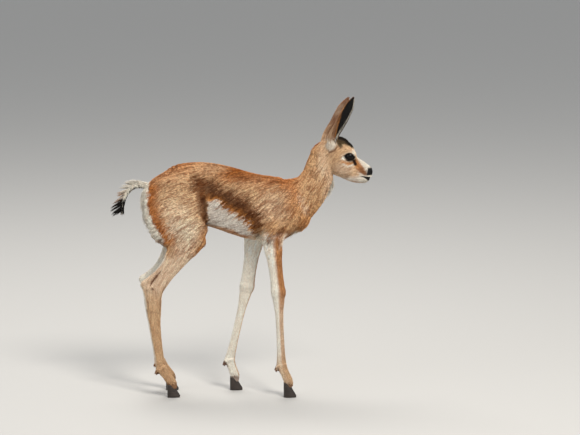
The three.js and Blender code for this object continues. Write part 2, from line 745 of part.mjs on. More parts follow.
// A closed skin over two grids of points with like edges: an outer and an inner face.
function shellOf(outer, inner) {
  const rows = outer.length;
  const cols = outer[0].length;
  const half = rows * cols;
  const positions = [...outer.flat(), ...inner.flat()].flatMap((p) => [p.x, p.y, p.z]);
  const faces = [];
  for (let i = 0; i + 1 < rows; i += 1) {
    for (let j = 0; j + 1 < cols; j += 1) {
      const a = i * cols + j;
      const [b, c, d] = [a + 1, a + cols + 1, a + cols];
      faces.push(a, b, c, a, c, d);
      faces.push(half + a, half + c, half + b, half + a, half + d, half + c);
    }
  }
  const border = [];
  for (let j = 0; j + 1 < cols; j += 1) border.push(j);
  for (let i = 0; i + 1 < rows; i += 1) border.push(i * cols + cols - 1);
  for (let j = cols - 1; j > 0; j -= 1) border.push((rows - 1) * cols + j);
  for (let i = rows - 1; i > 0; i -= 1) border.push(i * cols);
  border.forEach((a, n) => {
    const b = border[(n + 1) % border.length];
    faces.push(b, a, half + a, b, half + a, half + b);
  });
  const geometry = new THREE.BufferGeometry();
  geometry.setAttribute('position', new THREE.Float32BufferAttribute(positions, 3));
  geometry.setIndex(faces);
  return geometry;
}

// A value along a list of evenly spaced stations, smoothly between them.
function along(list, t) {
  const curve = new THREE.CatmullRomCurve3(list.map((v) => new THREE.Vector3(v, 0, 0)));
  return curve.getPoint(t).x;
}

// One ear: a leaf rolled to a tube at its root and opening to a shallow cup at its tip.
function earGeometry(side, rows = 12, cols = 8) {
  const s = SIDES[side];
  const spine = new THREE.CatmullRomCurve3(EARS[side].map(([x, y, z]) => new THREE.Vector3(x, s * y, z)));
  const outer = [];
  const inner = [];
  for (let i = 0; i < rows; i += 1) {
    const t = i / (rows - 1);
    const tangent = spine.getTangent(t);
    const facing = new THREE.Vector3(EAR_FACING[0], s * EAR_FACING[1], EAR_FACING[2]);
    facing.addScaledVector(tangent, -facing.dot(tangent)).normalize();
    const sideways = new THREE.Vector3().crossVectors(tangent, facing);
    const turn = along(EAR_HALF_TURNS, t);
    const radius = along(EAR_HALF_WIDTHS, t) / turn;
    const outerRow = [];
    const innerRow = [];
    for (let j = 0; j < cols; j += 1) {
      const f = (2 * j) / (cols - 1) - 1;
      const angle = f * turn;
      const point = spine.getPoint(t)
        .addScaledVector(facing, radius * (1 - Math.cos(angle)))
        .addScaledVector(sideways, radius * Math.sin(angle));
      const inward = facing.clone().multiplyScalar(Math.cos(angle)).addScaledVector(sideways, -Math.sin(angle));
      const tip = 1 - 0.5 * t;
      const wall = (EAR_WALL.middle + (EAR_WALL.rim - EAR_WALL.middle) * f * f) * tip;
      outerRow.push(point);
      innerRow.push(point.clone().addScaledVector(inward, wall));
    }
    outer.push(outerRow);
    inner.push(innerRow);
  }
  return shellOf(inner, outer);
}

const earGap = 1.5 * GAP;
const headSide = halfSpace(CUTS.headNeck, [250, 540]);
const grownHead = solidOf(netOf((x, y, z) => headField(x, y, z) - earGap, headGrid));
for (const side of Object.keys(SIDES)) {
  const ear = solidOf(earGeometry(side)).intersect(headSide).subtract(grownHead);
  addNode(`ear_${side}`, ear, COLOURS.fawn);
}

// A flat tapered lock: it leaves its root one way and bends over to another.
function lockGeometry(root, leave, bend, across, { length, width, thick, tip }, rows = 5) {
  const upper = [];
  const lower = [];
  const point = root.clone();
  for (let i = 0; i < rows; i += 1) {
    const t = i / (rows - 1);
    const way = leave.clone().lerp(bend, t).normalize();
    const flat = across.clone().addScaledVector(way, -across.dot(way)).normalize();
    const normal = new THREE.Vector3().crossVectors(way, flat);
    const half = (width / 2) * (0.6 + 0.8 * t) * (1 - t ** 2.4) + tip;
    const deep = (thick / 2) * (1 - 0.7 * t);
    const edge = (f, lift) => point.clone().addScaledVector(flat, f * half).addScaledVector(normal, lift);
    upper.push([-1, 0, 1].map((f) => edge(f, deep * (1.4 - f * f))));
    lower.push([-1, 0, 1].map((f) => edge(f, -deep * (0.6 + f * f))));
    point.addScaledVector(way, length / (rows - 1));
  }
  return shellOf(lower, upper);
}

// A seeded stream of numbers from 0 to 1.
function seeded(seed) {
  let state = seed;
  return () => {
    state = (state * 1664525 + 1013904223) % 4294967296;
    return state / 4294967296;
  };
}

// Tail: the brush round the dock with overlapping locks over its outer side and to its tip.
function tailSolid() {
  const spine = new THREE.CatmullRomCurve3(TAIL.map(([x, z]) => new THREE.Vector3(x, 0, z)));
  const lateral = new THREE.Vector3(0, 1, 0);
  const outwardAt = (t) => {
    const tangent = spine.getTangent(t);
    return [tangent, new THREE.Vector3(tangent.z, 0, -tangent.x)];
  };
  const steps = 14;
  const points = 10;
  const rings = Array.from({ length: steps + 1 }, (_, i) => {
    const t = i / steps;
    const outward = outwardAt(t)[1];
    return Array.from({ length: points }, (__, j) => {
      const turn = (j / points) * 2 * Math.PI;
      const reach = Math.cos(turn) * along(Math.cos(turn) > 0 ? TAIL_OUTER : TAIL_INNER, t);
      return spine.getPoint(t)
        .addScaledVector(outward, reach)
        .addScaledVector(lateral, Math.sin(turn) * along(TAIL_HALF, t))
        .toArray();
    });
  });
  let tail = solidOf(loftOf(rings));
  const random = seeded(7);
  for (let row = 0; row < LOCKS.rows; row += 1) {
    for (const place of [-1, 0, 1]) {
      const offset = place * LOCKS.stagger + (random() - 0.5) * LOCKS.scatter;
      const share = (row + 0.5 + offset) / LOCKS.rows;
      const t = LOCKS.from + (LOCKS.to - LOCKS.from) * share;
      const [tangent, outward] = outwardAt(t);
      const fan = place * LOCKS.fan + (random() - 0.5) * 0.2;
      const root = spine.getPoint(t)
        .addScaledVector(outward, along(TAIL_OUTER, t) * LOCKS.rootDepth)
        .addScaledVector(lateral, place * along(TAIL_HALF, t) * LOCKS.rootSide);
      const leave = outward.clone()
        .multiplyScalar(Math.cos(fan))
        .addScaledVector(lateral, Math.sin(fan) * 0.7)
        .addScaledVector(tangent, 0.5 + t)
        .normalize();
      const bend = leave.clone().addScaledVector(tangent, 1).normalize();
      const size = { ...LOCKS, length: LOCKS.length * (0.85 + 0.2 * random()) };
      tail = tail.add(solidOf(lockGeometry(root, leave, bend, tangent, size)));
    }
  }
  return tail;
}

const grownTorso = solidOf(netOf((x, y, z) => torsoField(x, y, z) - GAP, torsoGrid));
addNode('tail', tailSolid().subtract(grownTorso), COLOURS.white);

// The side of the middle plane on which a paired piece lies.
function sideBlock(s) {
  const reach = 1000;
  const low = s > 0 ? GAP / 2 : -reach;
  return blockOf([-reach, low, -reach], [reach, low + reach, reach]);
}

// One hind leg as thigh, shank and hock with cannon, above its digits.
function addHindleg(side) {
  const s = SIDES[side];
  const lag = HIND_LAG[side];
  const move = (p) => [p[0] + lag, p[1]];
  const [stifle, hock, fetlock] = [HIND.stifle, HIND.hock, HIND.fetlock].map(move);
  const yRange = (near, far) => (s > 0 ? [near, far] : [-far, -near]);
  const boxOf = (x0, x1, z0, z1, near = 10, far = 66) => {
    const [y0, y1] = yRange(near, far);
    return [[x0 + lag, y0, z0], [x1 + lag, y1, z1]];
  };
  const netIn = (box, steps, field) => solidOf(netOf(field, gridOf(...box, steps)));
  const hockCut = across(stifle, hock, 0.78);
  const hockFoot = across(hock, fetlock, 0.13);
  const fetlockCut = across(hock, fetlock, 0.92);
  const thigh = netIn(boxOf(-260, -50, 290, 500, -9), [13.6, 10.2, 12.4], hindField[side]);
  addNode(`thigh_${side}`, thigh
    .intersect(hipPrism(GAP))
    .intersect(sideBlock(s))
    .intersect(halfSpace(CUTS.stifle, [-130, 450])), COLOURS.fawn);
  const at = ([x, z], y) => new THREE.Vector3(x, s * y, z);
  const shank = solidOf(tubeOf(
    legField.hind[side],
    at([stifle[0] + 16, stifle[1] + 24], 30),
    at(hock, 37),
    14,
    18,
    { reach: 72, last: true },
  ));
  addNode(`shank_${side}`, shank
    .intersect(halfSpace(CUTS.stifle, [-200, 300]))
    .intersect(halfSpace(hockCut, stifle)), COLOURS.fawn);
  const hockBlock = netIn(boxOf(-250, -150, 205, 315, 15), [7.8, 7, 8.8], legField.hind[side]);
  addNode(`hock_${side}`, hockBlock
    .intersect(halfSpace(hockCut, hock))
    .intersect(halfSpace(hockFoot, hock)), COLOURS.fawn);
  const [top, foot] = CANNON_AXIS.map((p) => at(move(p), 40));
  const cannon = solidOf(tubeOf(legField.hind[side], top, foot, 13, 14));
  addNode(`hind_cannon_${side}`, cannon
    .intersect(halfSpace(hockFoot, fetlock))
    .intersect(halfSpace(fetlockCut, hock)), COLOURS.fawn);
}

// One foreleg as forearm and knee with cannon, above its digits.
function addForeleg(side) {
  const s = SIDES[side];
  const { elbow, knee, fetlock } = FORELEGS[side];
  const at = ([x, z], y, rise) => new THREE.Vector3(x, s * y, z + rise);
  const kneeCut = across(elbow, knee, 0.84);
  const fetlockCut = across(knee, fetlock, 0.92);
  const forearm = solidOf(tubeOf(foreField[side], at(elbow, 35, -3), at(knee, 39, 4), 10, 14));
  addNode(`forearm_${side}`, forearm
    .intersect(halfSpace(CUTS.elbow, [50, 300]))
    .intersect(halfSpace(kneeCut, elbow)), COLOURS.fawn);
  const cannon = solidOf(tubeOf(legField.fore[side], at(knee, 39, 26), at(fetlock, STANCE, 6), 16, 12));
  addNode(`fore_cannon_${side}`, cannon
    .intersect(halfSpace(kneeCut, knee))
    .intersect(halfSpace(fetlockCut, knee)), COLOURS.fawn);
}

// The pastern of one foot and its two hooves, parted by a slanting coronet.
function addFoot(name, side, joint, fetlock, coronet, field) {
  const s = SIDES[side];
  const lowY = s * STANCE - 26;
  const fetlockCut = across(joint, fetlock, 0.92);
  const slant = [coronet, [coronet[0] - 30, coronet[1] - 13]];
  const box = [[fetlock[0] - 28, lowY, -4], [coronet[0] + 30, lowY + 52, fetlock[1] + 30]];
  const pastern = solidOf(netOf(field, gridOf(...box, [8, 5.6, 10])));
  addNode(`${name}_pastern_${side}`, pastern
    .intersect(halfSpace(fetlockCut, [fetlock[0], 0]))
    .intersect(halfSpace(slant, [coronet[0], 200])), COLOURS.pale);
  for (const [place, digit] of [['inner', -s], ['outer', s]]) {
    const hoof = solidOf(hoofGeometry(coronet, s * STANCE + digit * HOOF.spread, digit))
      .intersect(halfSpace(slant, [coronet[0], -200]));
    addNode(`${name}_hoof_${place}_${side}`, hoof, COLOURS.horn, 0.45);
  }
}

for (const side of Object.keys(SIDES)) {
  addHindleg(side);
  addForeleg(side);
  const move = (p) => [p[0] + HIND_LAG[side], p[1]];
  addFoot('hind', side, move(HIND.hock), move(HIND.fetlock), move(HIND.coronet), legField.hind[side]);
  const front = FORELEGS[side];
  addFoot('fore', side, front.knee, front.fetlock, front.coronet, legField.fore[side]);
}

export default lamb;
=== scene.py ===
"""A springbok lamb, standing still: its skin and short coat, eyes, hooves, tail and studio.

The flesh is one smooth field of tapered forms, in millimetres, in the frame of the solids.
The skin is a net over that field, drawn in by the depth of the coat. Tufts of the coat, hair
and lashes grow out of the skin, and markings are worked out from their places on the body.
"""

import logging
import math
from dataclasses import astuple, dataclass
from enum import Enum

import bpy
import numpy as np
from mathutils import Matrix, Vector


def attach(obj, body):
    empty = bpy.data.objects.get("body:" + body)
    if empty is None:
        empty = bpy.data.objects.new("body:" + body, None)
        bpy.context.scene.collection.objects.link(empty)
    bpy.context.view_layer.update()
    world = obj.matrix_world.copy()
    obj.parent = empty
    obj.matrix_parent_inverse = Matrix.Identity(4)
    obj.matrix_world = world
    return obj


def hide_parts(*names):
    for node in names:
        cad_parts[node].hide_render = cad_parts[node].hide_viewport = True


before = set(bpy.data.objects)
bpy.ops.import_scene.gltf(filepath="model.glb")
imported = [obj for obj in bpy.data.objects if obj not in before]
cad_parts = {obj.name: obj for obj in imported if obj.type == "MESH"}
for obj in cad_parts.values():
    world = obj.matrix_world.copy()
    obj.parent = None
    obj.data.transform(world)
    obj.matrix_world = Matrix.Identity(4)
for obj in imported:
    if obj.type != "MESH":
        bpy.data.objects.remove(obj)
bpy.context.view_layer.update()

LOG = logging.getLogger("lamb")
MM = 0.001
BODY = "root"
SIDES = {"left": 1.0, "right": -1.0}
BRIGHTEST = 0.92  # the lightest that any tuft may be
PATCH = 0.003  # the width of a tuft on the unrolled skin, which is 1 wide
Array = np.ndarray


def smooth(low: float, high: float, value: Array) -> Array:
    """Rises softly from 0 at low to 1 at high."""
    share = np.clip((value - low) / (high - low), 0.0, 1.0)
    return share * share * (3.0 - 2.0 * share)


def join(a: Array, b: Array, blend: float) -> Array:
    """Smooth union of two distances over a blend width."""
    share = np.maximum(blend - np.abs(a - b), 0.0) / blend
    return np.minimum(a, b) - share * share * blend * 0.25


def unit(rows: Array) -> Array:
    """Rows scaled to length one."""
    return rows / np.maximum(np.linalg.norm(rows, axis=-1, keepdims=True), 1e-9)


def spline(points: Array, shares: Array) -> Array:
    """A smooth curve through points, without loops between them.

    Args:
        points: rows that the curve passes through.
        shares: places from 0 to 1, evenly split among the spans.

    Returns:
        One row of the curve for each share.
    """
    last = len(points) - 1
    ends = [2 * points[0] - points[1], 2 * points[-1] - points[-2]]
    rows = np.vstack([ends[0], points, ends[1]])
    at = np.clip(shares, 0.0, 1.0) * last
    span = np.minimum(at.astype(int), last - 1)
    w = (at - span)[:, None]
    p0, p1, p2, p3 = (rows[span + k] for k in range(4))
    steps = [np.sum((b - a) ** 2, axis=1) ** 0.25 for a, b in ((p0, p1), (p1, p2), (p2, p3))]
    d1 = np.where(steps[1] < 1e-4, 1.0, steps[1])[:, None]
    d0 = np.where(steps[0][:, None] < 1e-4, d1, steps[0][:, None])
    d2 = np.where(steps[2][:, None] < 1e-4, d1, steps[2][:, None])
    t1 = ((p1 - p0) / d0 - (p2 - p0) / (d0 + d1) + (p2 - p1) / d1) * d1
    t2 = ((p2 - p1) / d1 - (p3 - p1) / (d1 + d2) + (p3 - p2) / d2) * d1
    c2 = 3 * (p2 - p1) - 2 * t1 - t2
    c3 = 2 * (p1 - p2) + t1 + t2
    return p1 + t1 * w + c2 * w**2 + c3 * w**3


def tangent(points: Array, shares: Array, small: float = 1e-3) -> Array:
    """The direction of the curve through points, at shares of its length."""
    return unit(spline(points, shares + small) - spline(points, shares - small))


def flatten(rows: Array, normals: Array) -> Array:
    """Rows without what they have along normals of length one."""
    return rows - np.sum(rows * normals, axis=1, keepdims=True) * normals


def ridge(value: Array, middle: float, half: float) -> Array:
    """A soft ridge over values, 1 at its middle."""
    return np.exp(-(((value - middle) / half) ** 2))


def joined(rows: list[tuple]) -> list[Array]:
    """Rows of arrays joined, each with those at its place in the other rows."""
    return [np.concatenate(part) for part in zip(*rows)]


class Form:
    """A tapered form swept through rings, with a rounded cap at either end."""

    steps = 4
    at_once = 60000

    def __init__(self, rings: list, blend: float, caps: tuple | None = None,
                 egg: float = 0.0) -> None:
        """Samples the form.

        Args:
            rings: rows of x, y, z, half-depth and half-width, in millimetres.
            blend: width over which it flows into the forms before it.
            caps: length of the cap at each end.
            egg: how much narrower the section is towards its top.
        """
        rows = np.array(rings, float)
        shares = np.linspace(0.0, 1.0, (len(rows) - 1) * self.steps + 1)
        self.blend = blend
        self.egg = egg
        self.caps = caps or (min(rows[0, 3:5]), min(rows[-1, 3:5]))
        self.place = spline(rows[:, :3], shares)
        sizes = spline(np.c_[rows[:, 3:5], np.zeros(len(rows))], shares)
        along = tangent(rows[:, :3], shares, 1e-4)
        across = unit(np.array([0.0, 1.0, 0.0]) - along * along[:, 1:2])
        self.frames = np.hstack([self.place, sizes[:, :2], along, across, np.cross(along, across)])
        reach = sizes[:, :2].max() + max(self.caps)
        self.low = self.place.min(0) - reach
        self.high = self.place.max(0) + reach

    def distance(self, points: Array) -> Array:
        """Signed distance of points, near enough to true close to the surface.

        Args:
            points: places in millimetres.

        Returns:
            The distance of each, below 0 inside.
        """
        result = np.empty(len(points))
        start = self.place[:-1]
        edge = np.diff(self.place, axis=0)
        square = np.sum(edge**2, axis=1)
        for first in range(0, len(points), self.at_once):
            p = points[first:first + self.at_once]
            dot = p @ edge.T - np.sum(start * edge, axis=1)
            share = np.clip(dot / square, 0.0, 1.0)
            gap = np.sum(p**2, axis=1)[:, None] - 2 * p @ start.T + np.sum(start**2, axis=1)
            at = np.argmin(gap - 2 * share * dot + share**2 * square, axis=1)
            part = np.take_along_axis(share, at[:, None], axis=1)
            mixed = self.frames[at] * (1 - part) + self.frames[at + 1] * part
            place, deep, wide, along, across, upward = np.split(mixed, (3, 4, 5, 8, 11), axis=1)
            v = p - place
            reach = np.linalg.norm(v, axis=1)
            up = np.sum(v * upward, axis=1) / deep[:, 0]
            side = np.sum(v * across, axis=1)
            side = side / (wide[:, 0] * (1 - self.egg * np.clip(up, -1, 1)))
            forward = np.sum(v * along, axis=1)
            end = np.where(forward > 0, self.caps[1], self.caps[0])
            q = np.sqrt(up**2 + side**2 + (forward / end) ** 2)
            value = reach * (1 - 1 / np.maximum(q, 1e-6))
            value = np.where(reach < 1e-6, -np.minimum(deep, wide)[:, 0], value)
            result[first:first + self.at_once] = value
        return result


def bone(start: tuple, end: tuple, y_start: float, y_end: float, stations: list) -> list:
    """Rings along a straight bone.

    Args:
        start: x and z of the upper joint.
        end: x and z of the lower joint.
        y_start: lateral place of the upper joint.
        y_end: lateral place of the lower joint.
        stations: rows of share along, half-depth, half-width and an optional forward shift.

    Returns:
        Rings for a form.
    """
    length = math.dist(start, end)
    front = (-(end[1] - start[1]) / length, (end[0] - start[0]) / length)
    rings = []
    for share, deep, wide, *rest in stations:
        shift = rest[0] if rest else 0.0
        x = start[0] + (end[0] - start[0]) * share + front[0] * shift
        z = start[1] + (end[1] - start[1]) * share + front[1] * shift
        rings.append((x, y_start + (y_end - y_start) * share, z, deep, wide))
    return rings


@dataclass(frozen=True)
class Eye:
    """Place and size of an eye and the opening between its lids, in millimetres."""

    x: float = 247.5
    y: float = 17.0
    z: float = 556.5
    radius: float = 12.3
    lid: float = 1.3
    bare: float = 0.9
    length: float = 21.6
    height: float = 15.4
    slant: float = -0.28

    def centre(self, side: float) -> Array:
        """The middle of the eyeball on one side."""
        return np.array([self.x, side * self.y, self.z])

    def axis(self, side: float) -> Array:
        """The way that the eye on one side looks."""
        return unit(np.array([0.32, side * 0.93, 0.12]))

    def opening(self, x: Array, z: Array) -> Array:
        """How far a place seen from the side is from the middle of the opening: 1 at its rim."""
        u = (x - self.x) * math.cos(self.slant) + (z - self.z) * math.sin(self.slant)
        w = -(x - self.x) * math.sin(self.slant) + (z - self.z) * math.cos(self.slant)
        across = 2 * u / self.length
        squeeze = 1 - 0.3 * np.clip(across, -1, 1) ** 2
        return np.hypot(across, 2 * w / (self.height * squeeze))


EYE = Eye()
STANCE = 42.0  # how far each foot stands from the middle plane
HEAD_FROM = 480.0  # the head lies above this height
HIND_LAG = {"left": -6.0, "right": 0.0}  # how far a hind leg stands forward
POLL = (190, 568)
CROWN = (220, 566)
NOSE_TIP = (292, 517)
LIP_CORNER = (275.0, 510.0)
LIP_FRONT = (300.0, 505.5)
NOSTRIL = (297.0, 6.2, 518.5)
EAR_LINES = {
    "right": [(199, 17, 570), (202, 24, 602), (219.5, 32, 636), (239, 38, 669), (255, 42, 696)],
    "left": [(181, 16, 562), (191, 27, 598), (210, 33, 628), (226, 38, 656), (245.5, 42, 685)],
}
FORELEGS = {
    "right": {"elbow": (70, 366), "knee": (84, 246), "fetlock": (91.5, 73),
              "coronet": (109, 34)},
    "left": {"elbow": (29, 362), "knee": (11.5, 246), "fetlock": (-29.5, 70),
             "coronet": (-16, 30)},
}
HIND = {"stifle": (-116, 375), "hock": (-202, 248), "fetlock": (-184.5, 66),
        "coronet": (-159, 30)}
CALCANEUS = (-224, 263)
TAIL = [(-205, 484), (-222, 489), (-238, 489), (-252, 482.5), (-263, 470), (-269, 456),
        (-273, 440), (-274, 424)]
TRUNK = [
    (-203, 488, 402, 25), (-185, 507, 394, 32), (-160, 522, 391, 37), (-130, 538, 388, 38),
    (-96, 541, 389, 36), (-68, 538, 391, 37), (-38, 531, 383, 40), (-4, 521, 371, 43),
    (30, 513, 361, 45), (60, 509, 358, 43), (88, 504, 362, 37), (115, 497, 374, 31),
    (134, 488, 384, 26),
]
NECK = [(112, 440, 56, 33), (140, 461, 48, 30), (161, 482, 41, 26), (173, 505, 37, 23.5),
        (179, 531, 32, 22.5), (186, 558, 28, 23)]


def moved(point: tuple, side: str) -> tuple:
    """A hind joint of one side: the left hind leg stands a little further back."""
    return (point[0] + HIND_LAG[side], point[1])


def trunk_forms() -> list[Form]:
    """The trunk, neck, breast and shoulder blades."""
    rings = [(x, 0, (back + under) / 2, (back - under) / 2, half) for x, back, under, half in TRUNK]
    forms = [
        Form(rings, 6, (26, 17), 0.08),
        Form([(x, 0, z, deep, half) for x, z, deep, half in NECK], 18),
        Form([(96, 0, 400, 26, 24), (124, 0, 402, 23, 21), (139, 0, 407, 17, 15)], 12),
    ]
    for s in SIDES.values():
        blade = [(74, s * 17, 484, 24, 13), (100, s * 24, 446, 28, 15), (118, s * 27, 412, 24, 15)]
        forms.append(Form(blade, 16))
    return forms


def head_forms() -> list[Form]:
    """The skull, face, chin, orbits, cheeks, lips, nose and the roots of the ears."""
    x, z = POLL
    cx, cz = CROWN
    skull = [(x, 0, z, 22, 18), (cx - 12, 0, cz + 1, 31, 25), (cx, 0, cz, 34.5, 28),
             (cx + 11, 0, cz - 6, 31, 27)]
    face = [(230, 0, 546, 32, 24), (252, 0, 528, 25, 21.5), (270, 0, 518, 23.5, 16.5),
            (283, 0, 514, 19, 13.5), (NOSE_TIP[0] - 1, 0, NOSE_TIP[1] - 1, 12.5, 11.5)]
    bridge = [(258, 0, 538, 13, 13), (279, 0, 529, 11.5, 10), (290, 0, 522.5, 9.5, 9)]
    chin = [(226, 0, 522, 15, 16), (254, 0, 507, 12, 12), (283, 0, 500, 7, 8.5)]
    forms = [Form(skull, 10), Form(face, 10, (20, 9)), Form(bridge, 8), Form(chin, 9, (15, 6))]
    for side, s in SIDES.items():
        ex, ey, ez = EAR_LINES[side][0]
        for blend, *rings in (
            (8, (232, 17, 568, 9, 7), (243, 22, 569, 5, 6), (252, 18, 561, 5, 6)),
            (12, (224, 15, 536, 20, 12), (243, 17, 527, 13, 9)),
            (8, (ex + 4, ey - 2, ez, 15, 13), (ex + 7, ey + 8, ez + 15, 12, 11)),
            (8, (234, 12, 559, 16, 12), (245, 14.5, 556, 15, 12.5), (251, 12, 552.5, 12.5, 11.5)),
            (4, (272, 11, 514.5, 5, 4.5), (284, 9, 512, 5, 4.5), (293, 4, 511, 4.5, 4.5)),
            (4, (272, 8.5, 504, 4, 4), (284, 6.5, 502, 4, 4), (290, 2.5, 501.5, 4, 3.5)),
            (4, (290, 7, 520, 6, 4), (296, 5, 519, 5, 4)),
        ):
            forms.append(Form([(x, s * y, *rest) for x, y, *rest in rings], blend))
    return forms


def digit_forms(fetlock: tuple, coronet: tuple, s: float) -> list[Form]:
    """The two digits from a fetlock to the coronet, with the dewclaws behind."""
    forms = []
    for digit in (-1, 1):
        y = s * STANCE + digit * 6.75
        stations = [(0, 11.5, 6.8), (0.45, 9.5, 6.2), (0.8, 10, 6.2), (1.0, 9.4, 5.2),
                    (1.2, 6.5, 3.4)]
        forms.append(Form(bone(fetlock, coronet, y, y + digit * 0.8, stations), 3))
        claw = [(fetlock[0] - 9, y, fetlock[1] - 3, 4, 3),
                (fetlock[0] - 13.5, y, fetlock[1] - 9, 3.2, 2.6)]
        forms.append(Form(claw, 4))
    return forms


def foreleg_forms(side: str) -> list[Form]:
    """One foreleg from the upper arm to the digits."""
    s = SIDES[side]
    leg = FORELEGS[side]
    elbow, knee = leg["elbow"], leg["knee"]
    upper = [(116, s * 26, 408, 20, 14), (elbow[0] + 12, s * 31, elbow[1] + 16, 22, 15),
             (elbow[0], s * 34, elbow[1], 22, 15)]
    forearm = [(0, 24, 17), (0.2, 21, 15.5), (0.4, 17, 13.5), (0.7, 15.5, 12.5), (0.88, 16, 13.5),
               (1.03, 16, 13.5)]
    cannon = [(0, 15.5, 13.5), (0.12, 13.5, 12), (0.28, 9.8, 9.8), (0.5, 8.6, 8.6),
              (0.75, 8.9, 8.8), (0.9, 10, 10), (1, 12, 11.5)]
    return [
        Form(upper, 16),
        Form(bone(elbow, knee, s * 34, s * 39, forearm), 10),
        Form(bone(knee, leg["fetlock"], s * 39, s * STANCE, cannon), 6),
        *digit_forms(leg["fetlock"], leg["coronet"], s),
    ]


def hindleg_forms(side: str) -> list[Form]:
    """One hind leg from the thigh to the digits."""
    s = SIDES[side]
    lag = HIND_LAG[side]
    stifle, hock, fetlock, coronet = (moved(HIND[name], side) for name in HIND)
    heel = moved(CALCANEUS, side)
    thigh = [(-140, s * 22, 486, 50, 20), (-145, s * 26, 444, 66, 23), (-147, s * 28, 408, 70, 23),
             (-134 + lag / 2, s * 30, 376, 53, 21)]
    shank = [(0, 37, 20, 2), (0.25, 31, 18, 1), (0.5, 23, 14.5, 2), (0.75, 17, 11.5, 3),
             (1, 17, 12, 2)]
    kneecap = [(-91 + lag / 2, s * 33, 390, 14, 12), (-101 + lag / 2, s * 34, 366, 13, 12),
               (-117 + lag, s * 34, 344, 13, 12)]
    buttock = [(-197, s * 18, 446, 29, 19), (-198, s * 22, 420, 27, 20),
               (-193, s * 24, 402, 20, 18)]
    tendon = [(-155 + 2 * lag, s * 33, 352, 12, 12), (-167 + 2 * lag, s * 35, 320, 8, 7.5),
              (-195 + lag, s * 36, 287, 7, 6), (heel[0], s * 37, heel[1], 7, 7)]
    heel_bone = [(heel[0] + 1, s * 37, heel[1] - 2, 8, 8),
                 (hock[0] - 8, s * 38, hock[1] - 16, 13, 11)]
    cannon = [(0, 19, 13), (0.16, 18.8, 13, -4), (0.28, 17.2, 12, -5.5), (0.42, 14, 10.5, -6),
              (0.6, 12.1, 9.8, -5.5), (0.76, 11, 9.6, -4), (0.9, 10.8, 10.2, -3),
              (1, 12.3, 11.5, -1.5)]
    return [
        Form(thigh, 14, (20, 20)),
        Form(buttock, 10),
        Form(bone(stifle, hock, s * 31, s * 37, shank), 12),
        Form(kneecap, 12),
        Form(tendon, 10),
        Form(heel_bone, 7),
        Form(bone(hock, fetlock, s * 38, s * STANCE, cannon), 7),
        *digit_forms(fetlock, coronet, s),
    ]


def dock_form() -> Form:
    """The fleshy dock inside the tail's hair."""
    count = len(TAIL) - 1
    rings = [(x, 0, z, 5.2 - 3.4 * i / count, 5.0 - 3.2 * i / count)
             for i, (x, z) in enumerate(TAIL)]
    return Form(rings, 10)


def coat_depth(points: Array) -> Array:
    """How far the skin lies inside the outline of the coat: deepest on the trunk and neck."""
    x, _, z = points.T
    body = smooth(300, 370, z) * (1 - smooth(470, 525, z) * smooth(160, 195, x))
    return 0.6 + 1.2 * body


def lip_line(x: Array) -> tuple[Array, Array]:
    """The share from the corner of the mouth to its front, and the height of its line."""
    share = np.clip((x - LIP_CORNER[0]) / (LIP_FRONT[0] - LIP_CORNER[0]), -0.5, 1.3)
    drop = (LIP_FRONT[1] - LIP_CORNER[1]) * share
    return share, LIP_CORNER[1] + drop - 2.4 * share * (1 - share)


